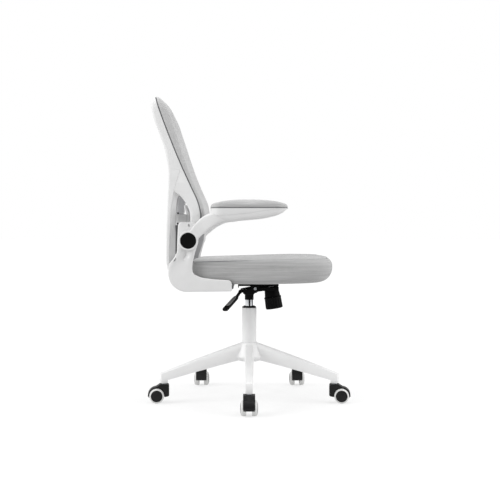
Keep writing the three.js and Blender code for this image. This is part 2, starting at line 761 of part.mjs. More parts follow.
const rimRings = rimOuter.map((outer, i) => {
  const inner = rimInner[i];
  const web = rimWeb[i];
  return [
    new THREE.Vector3(seamX(outer.y), outer.x, outer.y),
    new THREE.Vector3(rimRearX(outer.y) + rimBevel * 0.6, outer.x, outer.y),
    new THREE.Vector3(rimRearX(web.y), web.x, web.y),
    new THREE.Vector3(rimRearX(inner.y), inner.x, inner.y),
    new THREE.Vector3(seamX(inner.y), inner.x, inner.y)
  ];
});
const rimBody = skin([...rimRings, rimRings[0]], false);

// Rear rib: a wide flat band on each side from the upper rim down to its bracket
const ribTop = backBottom + backHeight * 0.55;
const ribStations = 9;
const ribRings = Array.from({ length: ribStations + 1 }, (_, i) => {
  const z = THREE.MathUtils.lerp(backBottom + overlap, ribTop, i / ribStations);
  const outer = Math.min(halfAt(z), bracketInner - seatGap);
  const rear = rearX(z);
  const inner = outer - ribWidth;
  const front = rear + ribThickness;
  return [[rear + rimBevel, outer], [front, outer - ribTaper], [front, inner], [rear + ribEdge, inner],
    [rear, inner + rimBevel], [rear, outer - rimBevel]].map(([x, y]) => new THREE.Vector3(x, -y, z));
});
const rib = skin(ribRings);

// Foot of the front branch, from the bottom rail down to the bracket's top edge
const branchFootZ = pivotZ + pivotBoss / 2;
const branchOuter = bracketInner - seatGap;
const branchFront = seamX(meshBottom);
const branchBack = branchRearX(meshBottom);
const branchFoot = block(branchFront - branchBack - rimBevel, rimThickness, branchFootZ,
  meshBottom + rimThickness, (branchFront + branchBack) / 2, rimThickness / 2 - branchOuter);
const halfFrame = join([rib, branchFoot]);
place('back_frame', join([rimBody, halfFrame, mirrored(halfFrame)]), 'white');

// Hoop: the flat strip pressed into the rim that the mesh is stretched over
const hoopOuter = backOutline(seatGap, rimCount);
const hoopInner = backOutline(rimThickness / 2, rimCount);
const hoopRings = hoopOuter.map((outer, i) => {
  const inner = hoopInner[i];
  const near = (point, forward) => new THREE.Vector3(seamX(point.y) + forward, point.x, point.y);
  return [near(outer, runGap), near(outer, hoopThickness), near(inner, hoopThickness), near(inner, runGap)];
});
place('mesh_hoop', skin([...hoopRings, hoopRings[0]], false), 'black');

// Mesh: a thin stretched skin, rounded over the hoop and hollowed a little between the sides
const meshRows = 14;
const meshColumns = 14;
const meshFoot = meshBottom + meshClear;
const meshHead = backTop - meshClear;

function meshSheet(offset) {
  const rows = [];
  for (let row = 0; row <= meshRows; row += 1) {
    const rise = (1 - Math.cos(Math.PI * row / meshRows)) / 2;
    const z = THREE.MathUtils.lerp(meshFoot, meshHead, rise);
    const points = [];
    for (let column = 0; column <= meshColumns; column += 1) {
      const across = Math.sin(Math.PI / 2 * (2 * column / meshColumns - 1));
      const corner = Math.max(0, 1 - Math.min(backTop - z, z - meshBottom) / backCorner);
      const half = halfAt(z) - seatGap - backCorner * (1 - Math.sqrt(1 - Math.min(corner, 1) ** 2)) * 0.75;
      const fromEdge = (1 - Math.abs(across)) * half;
      const round = Math.sqrt(1 - (1 - Math.min(fromEdge / meshEdge, 1)) ** 2);
      const fromEnd = Math.min(backTop - z, z - meshBottom);
      const ends = THREE.MathUtils.smoothstep(fromEnd, rimThickness, 5 * rimThickness);
      const seat = seamX(z) + hoopThickness + runGap;
      const nearTop = 1 - THREE.MathUtils.smoothstep(backTop - z, 0, meshDomeDepth);
      const dome = 1 - meshDomeShare * across * across * nearTop;
      const reach = Math.max(frontX(z) - meshThickness - seat, seatGap) * dome;
      const sag = meshSag * (1 - across * across) * ends;
      points.push(new THREE.Vector3(seat + reach * round - sag * round + offset, across * half, z));
    }
    rows.push(points);
  }
  return rows;
}

function sheetSolid(rear, front) {
  const rings = rear.map((row, i) => [...row, ...[...front[i]].reverse()]);
  return skin(rings);
}

place('back_mesh', sheetSolid(meshSheet(0), meshSheet(meshThickness)), 'mesh');

// Lumbar bar: an arched strip that slides up and down in the ribs, with a pad behind the mesh
const lumbarSeatX = rearX(lumbarZ + lumbarHeight) + ribThickness + seatGap;

function arch(half, low, high, rear, thickness, rise, steps) {
  const rings = Array.from({ length: steps + 1 }, (_, i) => {
    const across = 2 * i / steps - 1;
    const x = rear + rise * (1 - across * across);
    return [[x, low], [x + thickness, low], [x + thickness, high], [x, high]]
      .map(([px, pz]) => new THREE.Vector3(px, across * half, pz));
  });
  return skin(rings);
}

place('lumbar_bar', arch(lumbarHalf, lumbarZ, lumbarZ + lumbarHeight, lumbarSeatX, lumbarThickness,
  lumbarArch, barSteps), 'white');
const padShare = lumbarPadHalf / lumbarHalf;
const padRear = lumbarSeatX + lumbarThickness + lumbarArch * (1 - padShare * padShare) + seatGap;
const padFoot = lumbarZ + lumbarHeight / 2 - lumbarPadHeight / 2;
place('lumbar_pad', arch(lumbarPadHalf, padFoot, padFoot + lumbarPadHeight, padRear, lumbarPadThickness,
  lumbarArch * padShare * padShare, padSteps), 'white');

// Arm: link and tray in one moulding, outline as [length share, rise share] from the pivot
const armUnderShares = [[0.105, 0.05], [0.15, 0.17], [0.21, 0.28], [0.248, 0.41], [0.318, 0.49],
  [0.395, 0.578], [0.5, 0.618], [0.646, 0.657], [0.761, 0.696], [0.869, 0.765], [0.94, 0.853],
  [0.985, 0.96], [1, 1]];
const armOverShares = [[0.226, 1], [0.226, 0.84], [0.172, 0.784], [0.127, 0.696], [0.073, 0.53],
  [0.02, 0.32]];
const armPair = ([x, z]) => [pivotX + armLength * x, pivotZ + armRise * z];
const armOutline = [...armUnderShares.map(armPair), ...armOverShares.map(armPair),
  ...arcPairs(pivotX, pivotZ, pivotBoss, 88, 350, 12)];
const armMiddleY = -(linkInner + linkThickness / 2 + armOffset);
const padBack = pivotX + armPadStart;
const padFront = pivotX + armLength;
const padCentre = new THREE.Vector2((padBack + padFront) / 2, armMiddleY);

function padOutline(count) {
  const half = padWidth / 2;
  const shape = new THREE.Shape();
  shape.moveTo(padBack + half, armMiddleY - half);
  shape.lineTo(padFront - half, armMiddleY - half);
  shape.absarc(padFront - half, armMiddleY, half, -Math.PI / 2, Math.PI / 2);
  shape.lineTo(padBack + half, armMiddleY + half);
  shape.absarc(padBack + half, armMiddleY, half, Math.PI / 2, 3 * Math.PI / 2);
  return shape.getSpacedPoints(count).slice(0, count);
}

const padPoints = padOutline(padCount);
const armTop = pivotZ + armRise;
const trayShares = [[0, 0], [0.24, 0], [0.6, 1], [1.4, 1.9]];
const trayForm = skin(trayShares.map(([drop, inset]) => padPoints
  .map((point) => inward(point, padCentre, trayInset * inset))
  .map((point) => new THREE.Vector3(point.x, point.y, armTop - padThickness * trayDepthShare * drop))));
const wideArm = sideSlab(armOutline, armMiddleY - padWidth, armMiddleY + padWidth);
const linkSlab = sideSlab(armOutline, -linkOuter, -linkInner);
const capSeat = crossPost(capRadius + seatGap, -linkOuter - overrun, capDepth - linkOuter)
  .translate(pivotX, 0, pivotZ);
const armRight = cut(join([common(wideArm, trayForm), linkSlab]), [capSeat, pivotBore]);
place('armrest_shell_right', armRight, 'white');
place('armrest_shell_left', mirrored(armRight), 'white');

// Arm pad rings: [height share, inset share of the pad's thickness]
const padRingShares = [[0, 0.12], [0.1, 0], [0.3, 0.01], [0.55, 0.12], [0.78, 0.36], [0.93, 0.72], [1, 1.25]];
const padLevel = armTop + seatGap;

function padRing([height, inset]) {
  return padPoints.map((point) => {
    const along = (point.x - padCentre.x) / ((padFront - padBack) / 2);
    const crown = 1 - padCrownShare * along * along * along * along;
    const spot = inward(point, padCentre, padThickness * inset);
    return new THREE.Vector3(spot.x, spot.y, padLevel + padThickness * height * crown);
  });
}

const padRight = skin(padRingShares.map(padRing));
place('armrest_pad_right', padRight, 'fabric');
place('armrest_pad_left', mirrored(padRight), 'fabric');

// Pivot: a bolt through the link and bracket, under a round cap
const boltInnerEnd = bracketInner - pivotBolt;
const boltOuterEnd = linkOuter - capDepth - seatGap;
const pivotBoltRight = crossPost(pivotBolt, -boltOuterEnd, -boltInnerEnd, smallSteps)
  .translate(pivotX, 0, pivotZ);
place('pivot_bolt_right', pivotBoltRight, 'steel');
place('pivot_bolt_left', mirrored(pivotBoltRight), 'steel');
const capRight = crossPost(capRadius, -linkOuter - capProud, capDepth - linkOuter - seatGap)
  .translate(pivotX, 0, pivotZ);
place('pivot_cap_right', capRight, 'black');
place('pivot_cap_left', mirrored(capRight), 'black');

// Casters: drawn trailing to the front with the stem at the middle, then turned and set under their legs
const fenderRadius = wheelRadius + fenderGap + fenderWall;
const hoodRear = -hoodBlock;
const hoodOutline = [
  ...arcPairs(wheelTrail, wheelRadius, fenderRadius, fenderFootDeg, fenderHeadDeg, fenderSteps),
  [hoodBlock, hoodTop], [hoodRear + hoodCorner / 2, hoodTop],
  [hoodRear, hoodTop - hoodCorner], [hoodRear, hoodLow + hoodCorner],
  [hoodRear + hoodCorner, hoodLow], [wheelTrail - axleRadius, wheelRadius - axleRadius - housingWall],
  ...arcPairs(wheelTrail, wheelRadius, wheelRadius + fenderGap, fenderLipDeg, fenderFootDeg, 1)
];

function casterPart(geometry, index) {
  const turn = THREE.MathUtils.degToRad(casterRestDeg[index]);
  const angle = legAngle(index);
  return geometry.rotateZ(turn).translate(stemCircle * Math.cos(angle), stemCircle * Math.sin(angle), 0);
}

function wheelHollow(side) {
  const from = side > 0 ? webHalf : -hoodHalf - overrun;
  return crossPost(wheelRadius + fenderGap, from, from + hoodHalf + overrun - webHalf, hollowSteps)
    .translate(wheelTrail, 0, wheelRadius);
}

const hoodBody = cut(sideSlab(hoodOutline, -hoodHalf, hoodHalf), [
  wheelHollow(1), wheelHollow(-1),
  crossPost(axleRadius + seatGap, -hoodHalf, hoodHalf, smallSteps).translate(wheelTrail, 0, wheelRadius),
  post(stemRadius + seatGap, stemFoot - seatGap, hoodTop + overrun, smallSteps)
]);
const stemBody = turned([[0, stemFoot], [stemRadius, stemFoot], [stemRadius, hoodTop + seatGap],
  [stemCollar, hoodTop + seatGap], [stemCollar, tipBottom - seatGap], [stemRadius, tipBottom - seatGap],
  [stemRadius, stemTop], [0, stemTop]], smallSteps);
const axleBody = crossPost(axleRadius, -axleHalf, axleHalf, smallSteps).translate(wheelTrail, 0, wheelRadius);

// Wheel section turned round its axle: blind bore inside, stepped face outside
function wheelBody(side) {
  const bore = axleRadius + seatGap;
  const outer = wheelInner + wheelWidth;
  const boreEnd = axleHalf + seatGap;
  const shoulder = wheelRadius - wheelEdge;
  const face = outer - hubRecess;
  const half = turned([[0, boreEnd], [bore, boreEnd], [bore, wheelInner], [shoulder, wheelInner],
    [wheelRadius, wheelInner + wheelEdge], [wheelRadius, outer - wheelEdge], [shoulder, outer],
    [hubFaceRadius, outer], [hubFaceRadius - hubRecess, face], [0, face]], wheelSteps);
  return half.rotateX(side > 0 ? -Math.PI / 2 : Math.PI / 2).translate(wheelTrail, 0, wheelRadius);
}

for (let i = 0; i < legCount; i += 1) {
  const label = i + 1;
  place(`caster_stem_${label}`, casterPart(stemBody.clone(), i), 'steel');
  place(`caster_hood_${label}`, casterPart(hoodBody.clone(), i), 'black');
  place(`caster_axle_${label}`, casterPart(axleBody.clone(), i), 'steel');
  place(`caster_wheel_${label}a`, casterPart(wheelBody(1), i), 'tread');
  place(`caster_wheel_${label}b`, casterPart(wheelBody(-1), i), 'tread');
}

// The origin is on the floor under the middle of the chair's own box
const extent = new THREE.Box3().setFromObject(model);
const middle = extent.getCenter(new THREE.Vector3());
model.position.set(-middle.x, -middle.y, -extent.min.z);
const offsets = [-middle.x, -middle.y, -extent.min.z].map((value) => value.toFixed(2));
console.log(`column axis at ${offsets[0]}, ${offsets[1]}, floor ${offsets[2]}`);

export default chair;
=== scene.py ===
import bmesh
import bpy
from math import atan, copysign, cos, exp, pi, radians, sin, sqrt
from mathutils import Matrix, Vector, noise


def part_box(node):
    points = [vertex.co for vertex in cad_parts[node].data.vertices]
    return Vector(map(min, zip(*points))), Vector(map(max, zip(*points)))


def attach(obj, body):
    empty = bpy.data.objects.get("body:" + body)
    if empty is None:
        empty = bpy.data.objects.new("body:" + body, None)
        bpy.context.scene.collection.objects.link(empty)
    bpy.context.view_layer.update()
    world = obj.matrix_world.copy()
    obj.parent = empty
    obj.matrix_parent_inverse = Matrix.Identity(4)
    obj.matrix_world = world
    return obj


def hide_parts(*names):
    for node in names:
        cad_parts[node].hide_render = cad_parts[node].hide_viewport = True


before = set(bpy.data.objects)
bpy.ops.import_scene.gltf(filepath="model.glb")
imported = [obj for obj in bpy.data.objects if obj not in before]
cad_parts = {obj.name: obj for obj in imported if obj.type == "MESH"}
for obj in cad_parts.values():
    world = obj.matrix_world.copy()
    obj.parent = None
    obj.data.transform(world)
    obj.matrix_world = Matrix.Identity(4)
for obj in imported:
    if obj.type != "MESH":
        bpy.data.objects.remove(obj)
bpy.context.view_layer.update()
print("frame loaded")

# Shapes are drawn in millimetres round the column axis and moved to the frame when they are finished
mm = 0.001
columnLow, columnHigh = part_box("column_tube")
columnX = (columnLow[0] + columnHigh[0]) / 2
columnY = (columnLow[1] + columnHigh[1]) / 2


def placed(name, data):
    made = bpy.data.objects.new(name, data)
    bpy.context.collection.objects.link(made)
    return made


# Camera

photo = dict(width=500, focalPixels=992.8, distance=3400, height=604, horizon=222, sideStep=2.7, sensor=36)
cameraData = bpy.data.cameras.new("camera")
cameraData.sensor_width = photo["sensor"]
cameraData.lens = photo["focalPixels"] / photo["width"] * photo["sensor"]
camera = placed("camera", cameraData)
dip = atan((photo["width"] / 2 - photo["horizon"]) / photo["focalPixels"])
camera.location = (columnX + photo["sideStep"] * mm, columnY - photo["distance"] * mm, photo["height"] * mm)
camera.rotation_euler = (pi / 2 - dip, 0, 0)
bpy.context.scene.camera = camera
bpy.context.scene.view_settings.view_transform = "Standard"


# Materials

perMetre = 1000  # a pattern of n mm has a scale of perMetre / n
wavesPerUnit = 3.18  # threads that a wave texture draws in one unit of its scale
grainDepth = 0.0002  # metres that spark texture and threads stand up at full strength
threadDepth = 0.0004
patches = dict(cloud=60, mark=20, yarn=130)  # mm across a cloud, a turning mark and a yarn streak


def linear(hexText):
    parts = [int(hexText[i:i + 2], 16) / 255 for i in (0, 2, 4)]
    return (*[p / 12.92 if p <= 0.04045 else ((p + 0.055) / 1.055) ** 2.4 for p in parts], 1.0)


def addNode(tree, kind, inputs=None, stops=(), **settings):
    # adds a node with its settings, colour stops and links; a node given as an input links its first output
    made = tree.nodes.new("ShaderNode" + kind)
    for name, value in settings.items():
        setattr(made, name, value)
    for i, (place, hexText) in enumerate(stops):
        made.color_ramp.elements[i].position = place
        made.color_ramp.elements[i].color = linear(hexText)
    for name, value in (inputs or {}).items():
        if isinstance(value, bpy.types.Node):
            value = value.outputs[0]
        if isinstance(value, bpy.types.NodeSocket):
            tree.links.new(value, made.inputs[name])
        else:
            made.inputs[name].default_value = value
    return made


def newMaterial(name):
    material = bpy.data.materials.new(name)
    material.use_nodes = True
    tree = material.node_tree
    tree.nodes.clear()
    return material, tree, addNode(tree, "TexCoord").outputs["Object"]


def mouldedPlastic(name, dark, light, roughness, grain, depth, shine=0.5):
    # the skin that a mould or a paint gun leaves: cloudy in colour and gloss, with a fine spark texture
    material, tree, where = newMaterial(name)
    clouds = addNode(tree, "TexNoise", {"Vector": where, "Scale": perMetre / patches["cloud"],
                                        "Detail": 3.0})
    colour = addNode(tree, "ValToRGB", {"Fac": clouds}, stops=((0.35, dark), (0.65, light)))
    gloss = addNode(tree, "MapRange", {"Value": clouds, "To Min": roughness - 0.05,
                                       "To Max": roughness + 0.07})
    spark = addNode(tree, "TexNoise", {"Vector": where, "Scale": perMetre / grain, "Detail": 2.0})
    bump = addNode(tree, "Bump", {"Height": spark, "Strength": depth, "Distance": grainDepth})
    skin = addNode(tree, "BsdfPrincipled", {"Base Color": colour, "Roughness": gloss,
                                            "Specular IOR Level": shine, "Normal": bump})
    addNode(tree, "OutputMaterial", {"Surface": skin})
    return material


def brightMetal(name, dark, light, roughness, streak):
    # plated or turned metal: thin streaks round the bar break up its gloss
    material, tree, where = newMaterial(name)
    lay = addNode(tree, "Mapping", {"Vector": where, "Scale": (1, 1, streak)})
    lines = addNode(tree, "TexNoise", {"Vector": lay, "Scale": perMetre / patches["mark"], "Detail": 4.0})
    colour = addNode(tree, "ValToRGB", {"Fac": lines}, stops=((0, dark), (1, light)))
    gloss = addNode(tree, "MapRange", {"Value": lines, "To Min": roughness * 0.6,
                                       "To Max": roughness * 1.6})
    skin = addNode(tree, "BsdfPrincipled", {"Base Color": colour, "Metallic": 1.0, "Roughness": gloss})
    addNode(tree, "OutputMaterial", {"Surface": skin})
    return material


def wovenCloth(name, dark, light, thread, depth, streakLength, grain=0.16):
    # threads cross on every face of the piece, with long soft streaks where the yarn changes
    material, tree, where = newMaterial(name)
    threads = {"Vector": where, "Scale": perMetre / thread / wavesPerUnit, "Distortion": 0.6, "Detail": 1.0,
               "Detail Scale": 0.5}
    waves = [addNode(tree, "TexWave", threads, wave_type="BANDS", bands_direction=axis).outputs["Fac"]
             for axis in "XYZ"]
    pair = addNode(tree, "Math", {0: waves[0], 1: waves[1]}, operation="ADD")
    weave = addNode(tree, "Math", {0: pair, 1: waves[2]}, operation="ADD")
    drawn = []  # streaks for upright faces, then for level ones, where they may not follow the height
    for stretch in ((1, 1, streakLength), (1, streakLength, 0)):
        lay = addNode(tree, "Mapping", {"Vector": where, "Scale": stretch})
        drawn.append(addNode(tree, "TexNoise", {"Vector": lay, "Scale": perMetre / patches["yarn"],
                                                "Detail": 5.0, "Roughness": 0.6}))
    facing = addNode(tree, "SeparateXYZ", {0: addNode(tree, "TexCoord").outputs["Normal"]})
    upright = addNode(tree, "Math", {0: facing.outputs["Z"]}, operation="ABSOLUTE")
    level = addNode(tree, "MapRange", {"Value": upright, "From Min": 0.75, "From Max": 0.95})
    streaks = addNode(tree, "Mix", {0: level, 2: drawn[0], 3: drawn[1]})
    thin = addNode(tree, "MapRange", {"Value": weave, "From Max": 3.0, "To Min": -grain, "To Max": grain})
    share = addNode(tree, "Math", {0: streaks, 1: thin}, operation="ADD")
    colour = addNode(tree, "ValToRGB", {"Fac": share}, stops=((0.25, dark), (0.75, light)))
    bump = addNode(tree, "Bump", {"Height": weave, "Strength": depth, "Distance": threadDepth})
    skin = addNode(tree, "BsdfPrincipled", {"Base Color": colour, "Roughness": 0.92, "Sheen Weight": 0.25,
                                            "Sheen Roughness": 0.5, "Normal": bump})
    addNode(tree, "OutputMaterial", {"Surface": skin})
    return material


# glass filled nylon, injection moulded: an even satin, black parts nearly matt; the lever's inlay is smoky
whiteNylon = mouldedPlastic("whiteNylon", "E2E2E2", "E6E6E6", 0.42, 0.5, 0.03)
blackNylon = mouldedPlastic("blackNylon", "0F0F10", "141415", 0.44, 0.45, 0.1, shine=0.26)
deepBlackNylon = mouldedPlastic("deepBlackNylon", "090909", "0D0D0D", 0.5, 0.45, 0.08, shine=0.07)
smokeNylon = mouldedPlastic("smokeNylon", "6C6C6D", "7C7C7B", 0.35, 0.5, 0.06)
# sprayed powder baked on steel and die castings: a smooth coat with a slight orange peel
# the first white also serves the lumbar parts as painted light, brighter than their plastic to stand in for
# light coming through the mesh
whiteCoatAndPaintedLight = mouldedPlastic("whiteCoatAndPaintedLight", "EEEEEE", "F2F2F2", 0.38, 1.1, 0.03)
# a lit copy of the white plastic: painted light that lifts the base's legs and hub out of shade
litBaseWhite = mouldedPlastic("litBaseWhite", "F7F7F7", "FAFAFA", 0.38, 1.1, 0.03)
blackPowderCoat = mouldedPlastic("blackPowderCoat", "080808", "0C0C0C", 0.46, 0.9, 0.06, shine=0.06)
greyPowderCoat = mouldedPlastic("greyPowderCoat", "8C8C8D", "979798", 0.5, 0.9, 0.05)
# polyurethane tread and seam strip: dull and soft, with hardly a highlight; a paler dull grey is painted
# shade for inner faces that sit in shade
whiteTread = mouldedPlastic("whiteTread", "E2E2E1", "E9E9E8", 0.6, 0.7, 0.08)
# this grey is also painted shadow: the dark strip in the gap between each rib and its bracket
hoopAndShadowGrey = mouldedPlastic("hoopAndShadowGrey", "5E5F61", "6B6C6E", 0.7, 0.6, 0.1)
paintedShadeGrey = mouldedPlastic("paintedShadeGrey", "A0A0A2", "AEAEB0", 0.6, 0.6, 0.08)
# chromed steel reflects the room almost as a mirror does; zinc plate is greyer and blurs it
polishedChrome = brightMetal("polishedChrome", "C9CBCE", "E2E4E6", 0.08, 30)
zincSteel = brightMetal("zincSteel", "9EA1A5", "C2C4C7", 0.28, 12)
# polyester cloth, its threads drawn coarser than the real ones so that they show: matt, streaky and sheened
greyWeave = wovenCloth("greyWeave", "A0A0A0", "BEBEBE", 0.9, 0.25, 42, grain=0.06)
greyKnit = wovenCloth("greyKnit", "B4B4B4", "C4C4C4", 1.6, 0.2, 60, grain=0.05)
padWeave = wovenCloth("padWeave", "A9A9A9", "C8C8C8", 0.9, 0.25, 42, grain=0.06)
pipingCloth = wovenCloth("pipingCloth", "6C6D6F", "838486", 0.7, 0.3, 6)
print("materials made")


# Shape helpers, all in millimetres round the column axis

placing = Matrix.Translation((columnX, columnY, 0)) @ Matrix.Scale(mm, 4)
swapSides = Matrix.Scale(-1, 4, (0, 1, 0))


def mix(a, b, share):
    return a + (b - a) * share


def ease(value, low, high):
    t = min(max((value - low) / (high - low), 0), 1)
    return t * t * (3 - 2 * t)


def through(pairs):
    # smooth line through [place, value] pairs
    rising = sorted(pairs)
    last = len(rising) - 1
    slopes = []
    for i in range(len(rising)):
        before, after = rising[max(i - 1, 0)], rising[min(i + 1, last)]
        slopes.append((after[1] - before[1]) / (after[0] - before[0]))

    def line(place):
        at = min(max(place, rising[0][0]), rising[last][0])
        i = max(next(k for k, pair in enumerate(rising) if pair[0] >= at), 1)
        (x0, y0), (x1, y1) = rising[i - 1], rising[i]
        run = x1 - x0
        t = (at - x0) / run
        return ((2 * t ** 3 - 3 * t ** 2 + 1) * y0 + (t ** 3 - 2 * t ** 2 + t) * run * slopes[i - 1]
                + (3 * t ** 2 - 2 * t ** 3) * y1 + (t ** 3 - t ** 2) * run * slopes[i])
    return line


def bend(a, b, c, t):
    # point at t on the curve from a to c that leans towards b
    return a * (1 - t) ** 2 + b * 2 * t * (1 - t) + c * t ** 2


def shares(steps):
    return [k / steps for k in range(steps)]


def turns(steps):
    return [2 * pi * k / steps for k in range(steps)]


def squared(value, power):
    # keeps the sign and squares off a circle where the power is below 1
    return copysign(abs(value) ** power, value)


def circle(radius, steps):
    return [(radius * cos(a), radius * sin(a)) for a in turns(steps)]


def arcPoints(x, z, radius, start, end, steps):
    angles = [radians(mix(start, end, k / steps)) for k in range(steps + 1)]
    return [(x + radius * cos(a), z + radius * sin(a)) for a in angles]


def evenly(fine, count):
    # points a like distance apart round a closed line
    lengths = [(fine[(i + 1) % len(fine)] - point).length for i, point in enumerate(fine)]
    total, made, at, i = sum(lengths), [], 0, 0
    for k in range(count):
        goal = total * k / count
        while at + lengths[i] < goal:
            at += lengths[i]
            i += 1
        made.append(fine[i].lerp(fine[(i + 1) % len(fine)], (goal - at) / max(lengths[i], 1e-6)))
    return made


def inward(point, middle, length):
    away = point - middle
    return middle + away * (1 - length / away.length)


def ringOf(bm, points):
    corners = [bm.verts.new(point) for point in points]
    for a, b in zip(corners, corners[1:] + corners[:1]):
        bm.edges.new((a, b))
    return corners


def edgesOf(bm, ring):
    return [bm.edges.get((a, b)) for a, b in zip(ring, ring[1:] + ring[:1])]


def growRing(bm, ring, points):
    # extrudes a ring and sets the new one on its points
    made = bmesh.ops.extrude_edge_only(bm, edges=edgesOf(bm, ring))["geom"]
    fresh = {item for item in made if isinstance(item, bmesh.types.BMVert)}
    grown = [next(edge.other_vert(vert) for edge in vert.link_edges if edge.other_vert(vert) in fresh)
             for vert in ring]
    for vert, point in zip(grown, points):
        vert.co = point
    return grown


def loft(rings, closed=False):
    # a skin over rings of points: capped at both ends, or closed on itself
    bm = bmesh.new()
    first = ring = ringOf(bm, rings[0])
    for points in rings[1:]:
        ring = growRing(bm, ring, points)
    if closed:
        bmesh.ops.bridge_loops(bm, edges=edgesOf(bm, first) + edgesOf(bm, ring))
    else:
        for end in (first, ring):
            bmesh.ops.contextual_create(bm, geom=edgesOf(bm, end))
    return bm


def sharpEdges(bm, degrees):
    limit = radians(degrees)
    return [edge for edge in bm.edges if len(edge.link_faces) == 2 and edge.calc_face_angle(0) > limit]


def roundEdges(bm, edges, width, segments=3):
    bmesh.ops.bevel(bm, geom=edges, offset=width, offset_type="OFFSET", segments=segments, profile=0.5,
                    affect="EDGES", clamp_overlap=True, material=-1)


def longEdges(bm, axis, least):
    return [edge for edge in bm.edges if abs(edge.verts[0].co[axis] - edge.verts[1].co[axis]) > least]


def sidePlate(outline, fromY, toY, width=0, segments=3):
    # an outline of (x, z) points made solid between two places on Y, with rounded rims
    bm = bmesh.new()
    start = ringOf(bm, [(x, fromY, z) for x, z in outline])
    face = bmesh.ops.contextual_create(bm, geom=edgesOf(bm, start))["faces"]
    made = bmesh.ops.extrude_face_region(bm, geom=face)["geom"]
    moved = [item for item in made if isinstance(item, bmesh.types.BMVert)]
    bmesh.ops.translate(bm, verts=moved, vec=(0, toY - fromY, 0))
    bmesh.ops.recalc_face_normals(bm, faces=bm.faces)
    if width:
        rims = [edge for edge in bm.edges if abs(edge.verts[0].co.y - edge.verts[1].co.y) < 1e-4
                and edge.calc_face_angle(0) > 1]
        roundEdges(bm, rims, width, segments)
    return bm


def spun(profile, steps=96, axis=(0, 0, 1), centre=(0, 0, 0)):
    # (radius, height) pairs spun round Z; a profile that leaves the axis comes back to itself
    bm = bmesh.new()
    chain = [bm.verts.new((radius, 0, height)) for radius, height in profile]
    lines = [bm.edges.new(pair) for pair in zip(chain, chain[1:])]
    if profile[0][0] > 0 and profile[-1][0] > 0:
        lines.append(bm.edges.new((chain[-1], chain[0])))
    bmesh.ops.spin(bm, geom=chain + lines, cent=(0, 0, 0), axis=(0, 0, 1), angle=2 * pi, steps=steps,
                   use_merge=True)
    bmesh.ops.remove_doubles(bm, verts=bm.verts, dist=1e-4)
    turn = Vector((0, 0, 1)).rotation_difference(Vector(axis)).to_matrix().to_4x4()
    bm.transform(Matrix.Translation(centre) @ turn)
    return bm


def rounded(profile, radii, steps=4):
    # a (radius, height) profile with each inner corner rounded by its own radius
    path = [Vector(point) for point in profile]
    made = [tuple(path[0])]
    for i in range(1, len(path) - 1):
        size = radii[i] if isinstance(radii, list) else radii
        into, out = path[i - 1] - path[i], path[i + 1] - path[i]
        size = min(size, into.length * 0.45, out.length * 0.45)
        if size < 1e-3:
            made.append(tuple(path[i]))
            continue
        a, b = path[i] + into.normalized() * size, path[i] + out.normalized() * size
        made += [tuple(bend(a, path[i], b, k / steps)) for k in range(steps + 1)]
    made.append(tuple(path[-1]))
    return made


def tube(path, section):
    # a section of (u, v) points carried along a path, held upright
    rings = []
    for i, point in enumerate(path):
        here = Vector(point)
        along = (Vector(path[min(i + 1, len(path) - 1)]) - Vector(path[max(i - 1, 0)])).normalized()
        side = Vector((0, 0, 1)).cross(along)
        side = side.normalized() if side.length > 1e-3 else Vector((1, 0, 0))
        up = along.cross(side)
        pairs = section(i) if callable(section) else section
        rings.append([here + side * u + up * v for u, v in pairs])
    return loft(rings)


def meshOf(name, bm):
    mesh = bpy.data.meshes.new(name)
    bm.to_mesh(mesh)
    bm.free()
    return mesh


def solid(name, bm):
    # an object whose faces point outwards
    bmesh.ops.recalc_face_normals(bm, faces=bm.faces)
    return placed(name, meshOf(name, bm))


def applied(obj):
    # the mesh that an object's modifiers make
    bpy.context.view_layer.update()
    return bpy.data.meshes.new_from_object(obj.evaluated_get(bpy.context.evaluated_depsgraph_get()))


def combined(operation, shapes):
    first, *others = [solid("rough", shape) for shape in shapes]
    for other in others:
        step = first.modifiers.new("step", "BOOLEAN")
        step.object = other
        step.operation = operation
        step.solver = "MANIFOLD"
    made = bmesh.new()
    made.from_mesh(applied(first))
    for item in (first, *others):
        bpy.data.objects.remove(item)
    return made


def merged(*shapes):
    # one closed shell from overlapping ones
    return combined("UNION", shapes)


def trimmed(*shapes):
    # the first shell with the others cut out of it
    return combined("DIFFERENCE", shapes)


def finished(name, bm, material, body, nodes=(), crease=40, turn=None):
    # puts a shape in the frame, smooth but for its creases, riding on its body
    if turn is not None:
        bm.transform(turn)
    bm.transform(placing)
    obj = solid(name, bm)
    for face in obj.data.polygons:
        face.use_smooth = True
    obj.data.set_sharp_from_angle(angle=radians(crease))
    obj.data.materials.append(material)
    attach(obj, body)
    if nodes:
        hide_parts(*nodes)
    return obj


def bothSides(name, draw, material, body, nodes=(), crease=35):
    # draws the right hand piece and its mirror on the left; an arm's pieces ride on that side's arm
    return [finished(f"{name}_{side}", draw(), material, f"arm_{side}" if body == "arm" else body,
                     [f"{node}_{side}" for node in nodes], crease, turn)
            for side, turn in (("right", None), ("left", swapSides))]


# Base and casters

base = dict(legs=5, stemCircle=300, hubTop=192, hubBottom=128, hubRadius=36, bore=25.2, rootWidth=32,
            tipWidth=23, bevel=12, tipBevel=2, tipEnd=311.5, tipBlock=23, tipBottom=67, edge=0.9)


def legTurn(index):
    return Matrix.Rotation(-pi / 2 + index * 2 * pi / base["legs"], 4, "Z")


